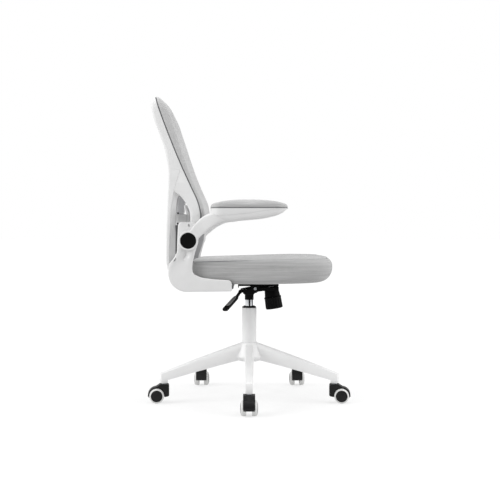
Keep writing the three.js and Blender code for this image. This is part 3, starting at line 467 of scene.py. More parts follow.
def drawLeg(index):
    # [radius, top, bottom, width, bevel] from the hub to the tip
    inner, end = base["tipEnd"] - base["tipBlock"], base["tipEnd"]
    keys = [(27, 190, 131, base["rootWidth"], base["bevel"]),
            (43, 186, 132, base["rootWidth"], base["bevel"]), (194.4, 138.5, 99, 27.5, 7),
            (inner, 106, 77, base["tipWidth"], base["tipBevel"]),
            (end, 98.5, 77, base["tipWidth"], base["tipBevel"])]
    top, low, wide, slant = (through([(key[0], key[k]) for key in keys]) for k in (1, 2, 3, 4))
    rings = []
    for radius in [27, 43] + [mix(43, inner, k / 12) for k in range(1, 13)] + [inner + 0.6, end]:
        half, bevel, crest = wide(radius) / 2, slant(radius), top(radius)
        bottom = base["tipBottom"] if radius > inner else low(radius)
        flat = half - bevel * 0.45
        rings.append([(radius, y, z) for y, z in [(half, bottom), (half, crest - bevel), (flat, crest),
                                                  (-flat, crest), (-half, crest - bevel), (-half, bottom)]])
    bm = loft(rings)
    bmesh.ops.recalc_face_normals(bm, faces=bm.faces)
    roundEdges(bm, sharpEdges(bm, 24), base["edge"], 2)
    bm.transform(legTurn(index))
    return bm


def drawHub():
    low, top, radius, bore = base["hubBottom"], base["hubTop"], base["hubRadius"], base["bore"]
    return spun(rounded([(bore, low), (radius - 2, low), (radius + 6, low + 7), (radius + 14, low + 16),
                         (radius, top - 14), (30, top), (bore, top)], 3))


legShapes = [drawLeg(legIndex) for legIndex in range(base["legs"])]
# painted light: the base takes a brighter copy of the white plastic
finished("base_shell", merged(drawHub(), *legShapes), litBaseWhite, "base",
         ["base_star"], 30)

caster = dict(wheelRadius=25, trail=24, inner=9, outer=26, hubFace=19.2, hoodTop=63, hoodHalf=19,
              fender=29.3, block=17.5, web=8.2, hollow=26.5, rest=(-90, -5, 90, 90, 185))
wheelX = caster["trail"]
wheelCentre = (wheelX, 0, caster["wheelRadius"])


def drawHood():
    # swivel block and a fender over each wheel, in one moulding
    radius, inner, front, top = caster["wheelRadius"], -caster["block"], caster["block"], caster["hoodTop"]
    web, hollow, half = caster["web"], caster["hollow"], caster["hoodHalf"]
    outline = [*arcPoints(wheelX, radius, caster["fender"], -4, 84, 20), (front, top - 3), (front - 3, top),
               (inner + 4, top), (inner + 1.2, top - 1.6), (inner, top - 5), (inner, 28),
               (inner + 1.5, 24.5), (inner + 5, 23), (wheelX - 4, 17),
               *arcPoints(wheelX, radius, hollow, -14, -4, 3)]
    hollows = [spun([(0, web), (hollow, web), (hollow, 40), (0, 40)], 72, (0, side, 0), wheelCentre)
               for side in (-1, 1)]
    return trimmed(sidePlate(outline, -half, half, 2.2, 4), *hollows)


def drawTread(side):
    # tyre ring: rounded shoulders, stepped seat for the hub disc
    radius, inner, outer, face = (caster[key] for key in ("wheelRadius", "inner", "outer", "hubFace"))
    return spun(rounded([(face - 6, inner), (radius - 0.5, inner), (radius, inner + 2), (radius, outer - 9),
                         (radius - 1.3, outer - 3.4), (radius - 3.9, outer), (face + 1.4, outer),
                         (face, outer - 0.8), (face, outer - 3), (face - 6, outer - 3)],
                        [0, 1, 1, 6, 2.5, 0.4, 0.3, 0.4, 0, 0]), 96, (0, side, 0), wheelCentre)


def drawHubDisc(side):
    # domed black disc with a rolled edge and a fine ring
    inner, outer, face = caster["inner"], caster["outer"], caster["hubFace"]
    profile = [(0, inner + 0.6), (face - 0.3, inner + 0.6), (face - 0.3, outer - 0.6),
               (face - 1.4, outer + 0.5), (face - 3.2, outer + 0.4), (face - 4, outer + 0.9),
               (11, outer + 1.4), (10.2, outer + 1), (9.4, outer + 1.5), (0, outer + 1.8)]
    return spun(rounded(profile, 0.4, 3), 72, (0, side, 0), wheelCentre)


for legIndex in range(base["legs"]):
    label = legIndex + 1
    turn = (Matrix.Translation(legTurn(legIndex) @ Vector((base["stemCircle"], 0, 0)))
            @ Matrix.Rotation(radians(caster["rest"][legIndex]), 4, "Z"))
    finished(f"caster_fork_{label}", drawHood(), blackNylon, f"caster_{label}",
             [f"caster_hood_{label}"], turn=turn)
    for letter, side in (("a", 1), ("b", -1)):
        wheel = f"wheel_{label}{letter}"
        finished(f"caster_tyre_{label}{letter}", drawTread(side), whiteTread, wheel,
                 [f"caster_{wheel}"], turn=turn)
        finished(f"caster_disc_{label}{letter}", drawHubDisc(side), blackNylon, wheel,
                 turn=turn)
print("base and casters made")


# Gas column

column = dict(radius=25, foot=129, top=311, taper=1.2, bore=21, screw=5.3, bushTop=317.4, bushRadius=24,
              bushBore=14.3, rodRadius=14, rodLow=172, rodTop=374)


def drawColumn():
    radius, foot, top, bore, screw = (column[key] for key in ("radius", "foot", "top", "bore", "screw"))
    hub = base["hubTop"]
    return spun(rounded([(bore, foot + 5), (screw, foot + 5), (screw, foot),
                         (radius - column["taper"] - 0.3, foot), (radius - 0.3, hub), (radius, hub + 0.4),
                         (radius, top), (bore, top)], [0, 0, 0, 1.5, 0, 0.2, 2.2, 0.6], 6))


def drawBush():
    # guide bush with a flange that steps down to the bright cylinder
    top, low, flange, bore = column["bushTop"], column["top"], column["bushRadius"], column["bushBore"]
    return spun(rounded([(bore, low - 58), (20.7, low - 58), (20.7, low + 0.3), (flange, low + 0.3),
                         (flange, low + 3.6), (flange - 3.2, low + 4.6), (19.4, top - 1), (18.6, top),
                         (bore, top)],
                        [0, 0, 0, 0.5, 1, 1, 0.8, 0.6, 0]))


def drawCylinder():
    radius, low, top = column["rodRadius"], column["rodLow"], column["rodTop"]
    return spun(rounded([(0, low), (radius, low), (radius, top), (0, top)], 1.2))


finished("column_sleeve", drawColumn(), whiteCoatAndPaintedLight, "base", ["column_tube"])
finished("column_guide", drawBush(), blackNylon, "base", ["column_bush"])
finished("lift_cylinder", drawCylinder(), polishedChrome, "gas_lift", ["gas_cylinder"])
print("column made")


# Tilt mechanism, knob and lever

tilt = dict(rear=-30, front=100, low=363, high=384, half=52, wall=4, pinX=20.5, bore=14.3, socket=15.2,
            socketFoot=338, socketTop=364, cupX=80, cupFoot=349, cupLean=9, cup=26.8, cupBore=22,
            cupHeight=34, screw=5.3, ribs=(46, 92))
knob = dict(radius=29.5, height=41, rim=3, flutes=16, depth=1.5, seat=0.3)
leanTurn = (Matrix.Translation((tilt["cupX"], 0, tilt["cupFoot"]))
            @ Matrix.Rotation(-radians(tilt["cupLean"]), 4, "Y"))


def drawHousing():
    # die cast box with a taper socket under it and a leaning spring cup in front
    low, high, half, wall = (tilt[key] for key in ("low", "high", "half", "wall"))
    rear, front, radius, bore, screw = (tilt[key] for key in ("rear", "front", "socket", "bore", "screw"))
    box = sidePlate([(-16, 359), (15.5, 359), (20, 364.4), (27, 368.2), (48, 370.8), (front, 371),
                     (front, high - 0.3), (tilt["pinX"], high - 0.3), (rear, high - 10.8), (rear, 372.4),
                     (-25, 368), (-19, 361.5)], -half, half, 2)
    hollow = sidePlate([(rear + wall, high + 5), (rear + wall, high - (high - low) * 0.35),
                        (wall - radius, low + 3.5), (16, low + 3.5), (26, 372.2), (48, 374.6),
                        (front - wall, 375), (front - wall, high + 5)], wall - half, half - wall)
    foot, top = tilt["socketFoot"], tilt["socketTop"]
    socket = spun(rounded([(bore, foot), (radius, foot), (radius, top - 7), (18.4, top - 1), (25, top + 4),
                           (25, top + 8), (bore, top + 8)], [0, 0.6, 4, 3, 1, 0, 0]), 72)
    wide, tall, well = tilt["cup"], tilt["cupHeight"], tilt["cupBore"]
    cup = spun(rounded([(screw, 0), (wide, 0), (wide - 4, tall), (well - 1.4, tall), (well, wall),
                        (screw, wall)], 1), 72)
    cup.transform(leanTurn)
    ribs = [sidePlate([(place - 1.5, high - 12.5), (place + 1.5, high - 12.5), (place + 1.5, high - 3),
                       (place - 1.5, high - 3)], side * half - 1, side * half + 1, 0.5, 2)
            for side in (-1, 1) for place in tilt["ribs"]]
    return merged(trimmed(box, hollow), socket, cup, *ribs)


def drawKnob():
    # tapering fluted grip under a plain collar, dished at the bottom
    # keys are (height, radius, flute depth)
    low, high = -knob["height"] - knob["seat"], -knob["seat"]
    collar, full = high - knob["rim"] - 1, knob["radius"]
    keys = [(high, full - 1.4, 0), (high - 0.6, full - 0.4, 0), (high - 1.4, full, 0), (collar, full, 0),
            (collar - 0.8, full - 0.8, 0), (collar - 1.6, full - 1.1, 0.15), (collar - 4, full - 1, 1),
            (low + 6, full - 0.1, 1), (low + 2, full - 0.4, 0.7), (low + 0.7, full - 1.1, 0.2),
            (low, full - 2.6, 0), (low + 0.3, 22, 0), (low + 1.6, 20.6, 0), (low + 2, 12, 0),
            (low + 2, tilt["screw"], 0)]
    rings = []
    for height, radius, share in keys:
        ring = []
        for angle in turns(knob["flutes"] * 8):
            wave = (0.5 - 0.5 * cos(angle * knob["flutes"])) ** 1.6
            reach = radius - knob["depth"] * share * wave
            ring.append((reach * cos(angle), reach * sin(angle), height))
        rings.append(ring)
    return loft(rings)


finished("tilt_casting", drawHousing(), blackPowderCoat, "mechanism", ["tilt_housing"], 32)
finished("knob_grip", drawKnob(), deepBlackNylon, "knob", ["tension_knob"], 32, leanTurn)

lever = dict(start=(-30, -52.9, 369), out=118, back=10, drop=8, rod=5, paddleOut=66, paddleBack=38,
             paddleDrop=38, width=20, thick=11, bend=16)
rodStart = Vector(lever["start"])
rodBend = rodStart + Vector((-lever["back"], -lever["out"], -lever["drop"]))
paddleEnd = rodBend + Vector((-lever["paddleBack"], -lever["paddleOut"], -lever["paddleDrop"]))


def drawRod():
    toBend, toEnd = (rodBend - rodStart).normalized(), (paddleEnd - rodBend).normalized()
    into, out = rodBend - toBend * lever["bend"], rodBend + toEnd * lever["bend"] * 0.6
    path = [rodStart, rodStart + toBend * 20, rodStart + toBend * 60]
    return tube(path + [bend(into, rodBend, out, k / 8) for k in range(9)], circle(lever["rod"], 24))


def drawPaddle(sizes, start, end):
    # rounded flat sections, each (share of the way, width, thickness)
    way = paddleEnd - rodBend
    sections = [[(lever["width"] / 2 * wide * squared(cos(a), 0.55),
                  lever["thick"] / 2 * tall * squared(sin(a), 0.75)) for a in turns(32)]
                for _, wide, tall in sizes]
    return tube([rodBend + way * mix(start, end, size[0]) for size in sizes], lambda i: sections[i])


def drawCollar():
    return spun(rounded([(4.9, 0), (6.5, 0), (6.5, 10), (5.8, 12), (4.9, 12)], 0.8), 48, (0, 1, 0),
                lever["start"])


paddleShape = [(0, 0.62, 0.7), (0.02, 0.78, 0.92), (0.08, 0.88, 1), (0.2, 0.95, 1), (0.35, 0.98, 1),
               (0.6, 1, 1), (0.9, 1, 1), (0.97, 0.97, 0.97), (0.99, 0.9, 0.88), (1, 0.78, 0.7)]
insetShape = [(0, 0.4, 1.02), (0.04, 0.68, 1.1), (0.3, 0.84, 1.14), (0.75, 0.88, 1.14), (0.96, 0.84, 1.1),
              (1, 0.6, 1.02)]
finished("lever_bar", drawRod(), blackPowderCoat, "lever", ["lever_rod"])
finished("lever_grip", drawPaddle(paddleShape, 0.03, 1), deepBlackNylon, "lever",
         ["lever_paddle"])
finished("lever_inlay", drawPaddle(insetShape, 0.1, 0.78), smokeNylon, "lever")
finished("lever_ferrule", drawCollar(), blackNylon, "lever_pivot")
print("mechanism, knob and lever made")


# Seat plate, pan and cross bars

seat = dict(rear=-195, depth=472, width=470, bottom=405, thickness=81, frontCorner=105, rearCorner=70,
            bow=10, panInset=64, pan=12)
seatFront = seat["rear"] + seat["depth"]
seatMiddle = Vector((seat["rear"] + seat["depth"] / 2, 0))


def seatOutline(count):
    # plan of the seat, bowed in front, with its corners eased
    # a span is a line of two points or a bend of three
    half, front, rear = seat["width"] / 2, seatFront, seat["rear"]
    fc, rc, bow = seat["frontCorner"], seat["rearCorner"], seat["bow"]
    spans = [((rear, 0), (rear, rc - half)), ((rear, rc - half), (rear, -half), (rear + rc, -half)),
             ((rear + rc, -half), (front - fc, -half)),
             ((front - fc, -half), (front - bow, -half), (front - bow, fc - half)),
             ((front - bow, fc - half), (front + bow, 0), (front - bow, half - fc)),
             ((front - bow, half - fc), (front - bow, half), (front - fc, half)),
             ((front - fc, half), (rear + rc, half)), ((rear + rc, half), (rear, half), (rear, half - rc)),
             ((rear, half - rc), (rear, 0))]
    fine = []
    for span in spans:
        ends = [Vector(point) for point in span]
        fine += [ends[0].lerp(ends[1], t) if len(ends) == 2 else bend(*ends, t) for t in shares(40)]
    return evenly(fine, count)


seatPoints = seatOutline(160)


def drawPan():
    low, high = seat["bottom"], seat["bottom"] + seat["pan"]
    return loft([[(*inward(point, seatMiddle, seat["panInset"] + inset), height) for point in seatPoints]
                 for height, inset in ((low, 3), (low + 0.8, 0.8), (low + 3, 0), (high, 0))])


# blocks are (centre, size); a bearer's front and rear are the front edges of the two bars
saddle = dict(plate=((31, 0, 390), (138, 124, 4)), flange=((-36.6, 0, 385.4), (3, 72, 9)), corner=12,
              edge=0.9, riser=((33.3, 0, 397.9), (90, 62, 13.4)), riserEdge=2, ears=(52.3, 55.3),
              earEdge=0.7, earEnd=10)
bearer = dict(front=-50, rear=-150, half=25, top=404.7, tall=15, reach=237.7, wall=2, corner=2.4)


def block(centre, size):
    bm = bmesh.new()
    bmesh.ops.create_cube(bm, size=1, matrix=Matrix.Translation(centre) @ Matrix.Diagonal((*size, 1)))
    return bm


def drawPlate():
    # pressed steel saddle with rounded corners, a rear flange, a riser and two ears down to the tilt pin
    plate, flange, riser = (block(*saddle[key]) for key in ("plate", "flange", "riser"))
    roundEdges(plate, longEdges(plate, 2, 2), saddle["corner"], 6)
    for shape, width, segments in ((plate, saddle["edge"], 2), (flange, saddle["edge"], 2),
                                   (riser, saddle["riserEdge"], 3)):
        roundEdges(shape, sharpEdges(shape, 60), width, segments)
    outline = [(5.5, 390), (8, 372), *arcPoints(tilt["pinX"], 374, saddle["earEnd"], 200, 340, 12),
               (33, 372), (35.5, 390)]
    ears = [sidePlate(outline, *sorted(side * y for y in saddle["ears"]), saddle["earEdge"], 2)
            for side in (-1, 1)]
    return merged(plate, flange, riser, *ears)


def drawBar(frontEdge):
    # square tube, open at its ends
    def section(step):
        left, right = frontEdge - 2 * bearer["half"] + step, frontEdge - step
        low, high = bearer["top"] - bearer["tall"] + step, bearer["top"] - step
        return [(left, low), (right, low), (right, high), (left, high)]
    bar = sidePlate(section(0), -bearer["reach"], bearer["reach"])
    roundEdges(bar, longEdges(bar, 1, 10), bearer["corner"], 4)
    return trimmed(bar, sidePlate(section(bearer["wall"]), -bearer["reach"] - 5, bearer["reach"] + 5))


finished("seat_saddle", drawPlate(), blackPowderCoat, "seat", ["seat_plate"], 35)
finished("seat_board", drawPan(), blackNylon, "seat", ["seat_pan"], 35)
for end in ("front", "rear"):
    finished(f"bearer_{end}", drawBar(bearer[end]), greyPowderCoat, "seat",
             [f"cross_bar_{end}"], 35)
print("seat plate, pan and bars made")


# Seat cushion

# rings are (share of the height, inset at the sides, inset at the front), insets as shares of the thickness
cushion = dict(rings=[(0, 0.17, 0.62), (0.03, 0.12, 0.42), (0.08, 0.06, 0.25), (0.15, 0.03, 0.11),
                      (0.25, 0.01, 0.0), (0.4, 0, -0.08), (0.55, 0, -0.1), (0.7, 0, -0.09),
                      (0.8, 0.004, -0.06), (0.88, 0.012, -0.01), (0.94, 0.03, 0.05), (0.98, 0.06, 0.14),
                      (1, 0.12, 0.27)],
               crown=2, lift=3, dip=9, dipFrom=140, seamLow=0.975, seamHigh=0.985, seamWidth=1.2, voxel=5.5,
               pressure=4, cap=2.5, pull=0.8, tuck=1.6)


def seatDip(x):
    # the top falls a little from its front to its rear
    return cushion["dip"] * min(max((cushion["dipFrom"] - x) / (cushion["dipFrom"] - seat["rear"]), 0), 1)


def cushionRing(height, side, front):
    ring = []
    for point in seatPoints:
        frontness = ease(point.x, seatMiddle.x, seatFront - seat["bow"])
        spot = inward(point, seatMiddle, seat["thickness"] * mix(side, front, frontness))
        lift = cushion["lift"] * ease(spot.x, 60, 200) * (1 - height)
        lift -= seatDip(spot.x) * ease(height, 0.6, 1)
        ring.append((spot.x, spot.y, seat["bottom"] + seat["thickness"] * height + lift))
    return ring


def drawCushion():
    # side wall from a folded bottom edge up to the welt, then a softly crowned top
    rings = [cushionRing(*ring) for ring in cushion["rings"]]
    edge, top = rings[-1], seat["bottom"] + seat["thickness"]
    for share in (0.12, 0.25, 0.4, 0.56, 0.72, 0.86):
        ring = []
        crown = cushion["crown"] * (1 - (1 - share) ** 2.2)
        for x, y, _ in edge:
            spot = Vector((x, y)).lerp(seatMiddle, share)
            lean = mix(-2, 3, ease(spot.x, seat["rear"], seatFront - 60))
            ring.append((spot.x, spot.y, top - seatDip(spot.x) + lean * share + crown))
        rings.append(ring)
    return loft(rings)


def puffed(bm, voxel, pressure, cap, frames=16):
    # swells a closed shape as stuffed cloth; no point moves further than the cap
    source = solid("pad", bm)
    source.data.transform(placing)
    remesh = source.modifiers.new("remesh", "REMESH")
    remesh.mode = "VOXEL"
    remesh.voxel_size = voxel * mm
    dense = applied(source)
    source.modifiers.clear()
    source.data = dense
    rest = [vert.co.copy() for vert in dense.vertices]
    cloth = source.modifiers.new("cloth", "CLOTH")
    cloth.settings.use_pressure = True
    cloth.settings.uniform_pressure_force = pressure
    cloth.settings.quality = 6
    cloth.settings.tension_stiffness = 12
    cloth.settings.bending_stiffness = 0.6
    cloth.settings.effector_weights.gravity = 0
    cloth.collision_settings.use_collision = False
    cloth.point_cache.frame_start, cloth.point_cache.frame_end = 1, frames
    for frameNumber in range(1, frames + 1):
        bpy.context.scene.frame_set(frameNumber)
    blown = source.evaluated_get(bpy.context.evaluated_depsgraph_get()).data
    moved = [vert.co.copy() for vert in blown.vertices]
    source.modifiers.clear()
    bpy.context.scene.frame_set(1)
    for vert, start, end in zip(source.data.vertices, rest, moved):
        step = end - start
        vert.co = start + step * min(1, cap * mm / max(step.length, 1e-9))
    made = bmesh.new()
    made.from_mesh(source.data)
    bpy.data.objects.remove(source)
    made.transform(placing.inverted())
    bmesh.ops.smooth_vert(made, verts=made.verts, factor=0.5, use_axis_x=True, use_axis_y=True,
                          use_axis_z=True)
    return made


def seamRise(x):
    # the seam climbs from its rear height to the top edge
    return ease(x, seat["rear"] - 40, -60)


def wrinkled(bm):
    # long shallow pulls along the side wall and a firmer line under the welt
    bm.normal_update()
    for vert in bm.verts:
        x, y, z = vert.co
        side = 1 - abs(vert.normal.z)
        wave = noise.noise(Vector((x * 0.011 + 3, y * 0.011, z * 0.085))) * 0.9
        wave += noise.noise(Vector((x * 0.03, y * 0.03 + 7, z * 0.3))) * 0.35
        line = seat["bottom"] + seat["thickness"] * mix(cushion["seamLow"], cushion["seamHigh"],
                                                        seamRise(x)) - 2
        line -= seatDip(x)
        tuck = exp(-((z - line) / 2.8) ** 2) * (1 - ease(x, -90, 80))
        vert.co -= vert.normal * (side * (tuck * cushion["tuck"] - wave * cushion["pull"]))
    return bm


seatShape = wrinkled(puffed(drawCushion(), cushion["voxel"], cushion["pressure"], cushion["cap"]))
seatPad = finished("seat_upholstery", seatShape, greyWeave, "seat", ["seat_cushion"], 80)
soften = seatPad.modifiers.new("soften", "SUBSURF")
soften.levels = soften.render_levels = 1


def drawWelt():
    # piping round the top edge of the side wall
    lower = cushionRing(cushion["seamLow"], 0.04, 0.1)
    upper = cushionRing(cushion["seamHigh"], 0.06, 0.15)
    rings = []
    for low, high in zip(lower, upper):
        here = Vector(low).lerp(Vector(high), seamRise(low[0]))
        out = Vector((here.x - seatMiddle.x, here.y, 0)).normalized()
        width = cushion["seamWidth"] * (1 - 0.8 * ease(here.x, -90, 40))
        rings.append([here + out * u + Vector((0, 0, v)) for u, v in circle(width, 8)])
    return loft(rings, closed=True)


finished("seat_welt", drawWelt(), pipingCloth, "seat", (), 60)
print("seat cushion made")


# Side brackets, arm links and trays

def spineShell(table, shape):
    # sections along pairs of edge points
    # shape(i) gives (outer y, inner y, squareness, groove, groove place)
    columns = [through([(i, row[k]) for i, row in enumerate(table)]) for k in range(4)]
    steps = 6
    rings = []
    for n in range((len(table) - 1) * steps + 1):
        i = n / steps
        leftX, leftZ, rightX, rightZ = (column(i) for column in columns)
        outer, inner, square, groove, place = shape(i)
        ring = []
        for angle in turns(48):
            share = 0.5 + 0.5 * squared(cos(angle), 2 / square)
            depth = squared(sin(angle), 2 / square)
            y = mix((outer + inner) / 2, outer if depth > 0 else inner, abs(depth))
            if depth > 0.5:
                y += groove * exp(-((share - place) / 0.14) ** 2)
            ring.append((mix(leftX, rightX, share), y, mix(leftZ, rightZ, share)))
        rings.append(ring)
    return loft(rings)


# edges and link are rows of (x, z, x, z) on their two sides; a slot is (x, z, width, height, lean)
bracket = dict(inner=238, outer=256, groove=12, slotDepth=9,
               slots=[(-190.5, 593, 2.2, 4.6, 12), (-235.5, 484, 1.9, 6.5, -32)],
               edges=[(-217, 603.4, -182, 603.4), (-221.5, 601.4, -171, 600), (-225, 592, -164, 590),
                      (-227, 565, -161, 565), (-228.5, 535, -163, 537), (-229.5, 509, -171, 510),
                      (-240, 488, -177, 487), (-253, 471, -180.5, 465), (-257, 449, -180.5, 449),
                      (-256, 429, -176.5, 440), (-248, 408, -168, 434), (-232, 392.5, -158, 429.5),
                      (-208, 382.6, -147, 426.3), (-168, 382.3, -130, 424), (-122, 382.7, -108, 421.5),
                      (-88, 383.2, -82, 420), (-62, 383.5, -65, 418.3), (-55.6, 384.6, -57, 412),
                      (-54.4, 388, -55, 404)])
arm = dict(pivotX=-192, pivotZ=545, boss=31, bore=6.4, inner=256.4, outer=276.2, cap=25, capDepth=4,
           middle=278.3, top=647, half=40, rear=-122, front=122,
           link=[(-208, 556, -170, 526), (-197, 568, -162, 546), (-186, 577, -156, 556),
                 (-169, 599, -142, 568), (-152, 616, -127, 580), (-138, 625, -110, 590.5),
                 (-121, 632, -90, 599.5), (-98, 636, -66, 604.5), (-66, 637, -34, 609.5),
                 (-30, 636, 10, 613.5)],
           wallFoot=[(-122, 623), (-106, 624), (-28, 630), (49, 640.5), (90, 644.4), (122, 645)],
           belly=[(-122, 629), (-100, 624), (-85, 612), (-68, 604), (-35, 608), (11, 612), (47, 616),
                  (81, 623), (103, 632), (117, 643), (122, 645)])
armLength = arm["front"] - arm["rear"]
armMiddle = Vector((0, -arm["middle"]))
pivot = (arm["pivotX"], 0, arm["pivotZ"])
padShape = dict(rings=[(0, 0.14), (0.04, 0.05), (0.1, 0.005), (0.2, 0), (0.32, 0.015), (0.45, 0.06),
                       (0.58, 0.14), (0.7, 0.25), (0.8, 0.38), (0.88, 0.55), (0.94, 0.75), (0.98, 1.0),
                       (1, 1.25)],
                height=26, taper=0.28, voxel=3.4, pressure=3, cap=1.5, hem=1.1)


def drawBracket():
    def shape(i):
        groove = bracket["groove"] * ease(i, 3.9, 5) * (1 - ease(i, 6, 9.5))
        return -bracket["outer"], -bracket["inner"], 7, groove, mix(0.58, 0.36, ease(i, 4.5, 7))
    slots = []
    for x, z, wide, tall, degrees in bracket["slots"]:
        ring = [(wide * cos(a), tall * sin(a)) for a in turns(20)]
        c, s = cos(radians(degrees)), sin(radians(degrees))
        slots.append(sidePlate([(x + u * c - v * s, z + u * s + v * c) for u, v in ring],
                               -bracket["outer"] - 3, -bracket["outer"] + bracket["slotDepth"]))
    return trimmed(spineShell(bracket["edges"], shape), *slots)


def drawLink():
    def shape(i):
        widen, melt = ease(i, 2.6, 7), ease(i, 7.4, 9)
        inner = mix(mix(arm["inner"], 250, ease(i, 4.4, 7)), 266, melt)
        return -mix(mix(arm["outer"], 309, widen), 298, melt), -inner, mix(7, 3.4, widen), 0, 0.5
    return spineShell(arm["link"], shape)


def drawBoss():
    # round end of the link, with a raised ring and a seat for the cap
    inner, outer, seatY, rim = arm["inner"], arm["outer"], arm["outer"] - arm["capDepth"], arm["cap"] + 0.5
    return spun(rounded([(arm["bore"], inner), (arm["boss"], inner), (arm["boss"], outer), (rim, outer),
                         (rim, seatY), (arm["bore"], seatY)], [0, 1.5, 3, 0.8, 0, 0]), 96, (0, -1, 0),
                pivot)


def drawTray():
    # shallow boat under the pad: upright wall, a small step, then a rounded belly
    belly, wallFoot = through(arm["belly"]), through(arm["wallFoot"])
    top, half = arm["top"], arm["half"]
    rings = []
    for n in range(49):
        x = arm["rear"] + armLength * (1 - cos(pi * n / 48)) / 2
        ends = min(x - arm["rear"], arm["front"] - x)
        reach = half * sqrt(max(1 - (1 - min(ends / half, 1)) ** 2, 0.0009))
        low = min(belly(x), top - 3)
        wall = max(wallFoot(x), low + 1)
        ring = [(reach, top), (reach, wall + 0.9), (reach * 0.99, wall), (reach * 0.955, wall - 0.3)]
        for angle in (pi / 2 * k / 8 for k in range(1, 9)):
            ring.append((reach * 0.94 * cos(angle) ** 0.55,
                         wall - 0.4 - (wall - 0.4 - low) * sin(angle) ** 0.75))
        ring += [(-y, z) for y, z in reversed(ring[:-1])]
        rings.append([(x, y - arm["middle"], z) for y, z in ring])
    return loft(rings)


def drawArm():
    inner, outer, bore, rim = arm["inner"], arm["outer"], arm["bore"], arm["cap"] + 0.5
    clear = spun([(0, inner - 5), (bore, inner - 5), (bore, outer - arm["capDepth"] - 0.1),
                  (rim, outer - arm["capDepth"]), (rim, outer + 5), (0, outer + 5)], 96, (0, -1, 0), pivot)
    return trimmed(merged(drawBoss(), drawLink(), drawTray()), clear)


def drawCap():
    low, high, radius = arm["outer"] - arm["capDepth"] + 0.2, arm["outer"] + 0.9, arm["cap"]
    return spun(rounded([(0, low), (radius, low), (radius, high - 0.6), (radius - 1.6, high),
                         (radius - 3.4, high - 0.7), (0, high - 0.1)], 0.5, 3), 96, (0, -1, 0), pivot)


def padOutline(half):
    # plan of an arm pad, a slot shape, as (x, y) points
    points = []
    for x, y in circle(1, 96):
        straight = copysign(armLength / 2 - arm["half"], x) * ease(abs(x), 0, 0.35)
        points.append(Vector((straight + half * x, armMiddle.y + half * y)))
    return points


def drawPad():
    height = padShape["height"]
    rings = []
    for share, inset in padShape["rings"]:
        ring = []
        for point in padOutline(arm["half"]):
            along = point.x / (armLength / 2)
            spot = inward(point, armMiddle, height * inset)
            ring.append((*spot, arm["top"] + 0.3 + height * share * (1 - padShape["taper"] * along ** 4)))
        rings.append(ring)
    return puffed(loft(rings), padShape["voxel"], padShape["pressure"], padShape["cap"], 10)


def drawPadWelt():
    # folded hem of the pad's cover, pressed against the tray
    rings = []
    for point, (x, y) in zip(padOutline(arm["half"] - 1.2), circle(1, 96)):
        here, out = Vector((*point, arm["top"] + 1.4)), Vector((x, y, 0))
        rings.append([here + out * u + Vector((0, 0, v)) for u, v in circle(padShape["hem"], 8)])
    return loft(rings, closed=True)


bothSides("bracket_shell", drawBracket, whiteNylon, "seat", ["arm_bracket"])
bothSides("arm_shell", drawArm, whiteNylon, "arm", ["armrest_shell"])
bothSides("arm_cap", drawCap, deepBlackNylon, "arm", ["pivot_cap"])
for pad in bothSides("arm_pad", drawPad, padWeave, "arm", ["armrest_pad"], 80):
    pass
bothSides("arm_pad_hem", drawPadWelt, pipingCloth, "arm", (), 60)
print("brackets and arms made")


# Back frame, hoop, mesh and lumbar support

# lines are (share of the height, share of the reach) pairs in the side view
# halfLine is the front view's edge, from 0 at its top half width to 1 at its low one
back = dict(bottom=450, height=560, rear=-316, reach=170, halfLow=237, halfTop=206, corner=46, lowCorner=34,
            rail=602, ribWidth=62, ribTaper=34, ribTop=800, outermost=237.7, meshThick=2.4, meshSag=26,
            domed=0.35, meshEdge=16, meshEnd=19, hoop=3, gap=0.9,
            rearLine=[(1, 0.041), (0.964, 0.002), (0.93, 0.008), (0.843, 0.085), (0.698, 0.259),
                      (0.571, 0.338), (0.505, 0.342), (0.311, 0.318), (0.059, 0.302), (0, 0.33)],
            seamLine=[(1, 0.068), (0.927, 0.144), (0.787, 0.316), (0.615, 0.548), (0.461, 0.779),
                      (0.405, 0.866), (0.356, 0.916), (0.315, 0.939), (0.268, 0.93)],
            frontLine=[(1, 0.09), (0.993, 0.165), (0.972, 0.26), (0.934, 0.335), (0.883, 0.4),
                       (0.774, 0.52), (0.635, 0.669), (0.526, 0.799), (0.446, 0.912), (0.397, 0.979),
                       (0.357, 1.005), (0.314, 1.012), (0.268, 0.97)],
            branchLine=[(0.48, 0.34), (0.45, 0.43), (0.436, 0.512), (0.421, 0.57), (0.384, 0.665),
                        (0.348, 0.724), (0.314, 0.747), (0.268, 0.73)],
            halfLine=[(1, 0), (0.93, 0.06), (0.75, 0.35), (0.5, 0.62), (0.268, 1)])
backTop = back["bottom"] + back["height"]
ribDepth = through([(450, 26), (630, 26), (642, 27.5), (671, 29), (685, 32), (692, 38), (700, 50),
                    (727, 58), (800, 50)])
creaseLine = through([(450, 9.2), (616, 11), (674, 13.5), (727, 24), (770, 37), (800, 42)])
halfShare = through(back["halfLine"])


def sideCurve(name):
    line = through(back[name])
    return lambda z: back["rear"] + back["reach"] * line((z - back["bottom"]) / back["height"])


rearX, seamX, frontX, branchX = (sideCurve(f"{name}Line") for name in ("rear", "seam", "front", "branch"))


def halfAt(z):
    return mix(back["halfTop"], back["halfLow"], halfShare((z - back["bottom"]) / back["height"]))


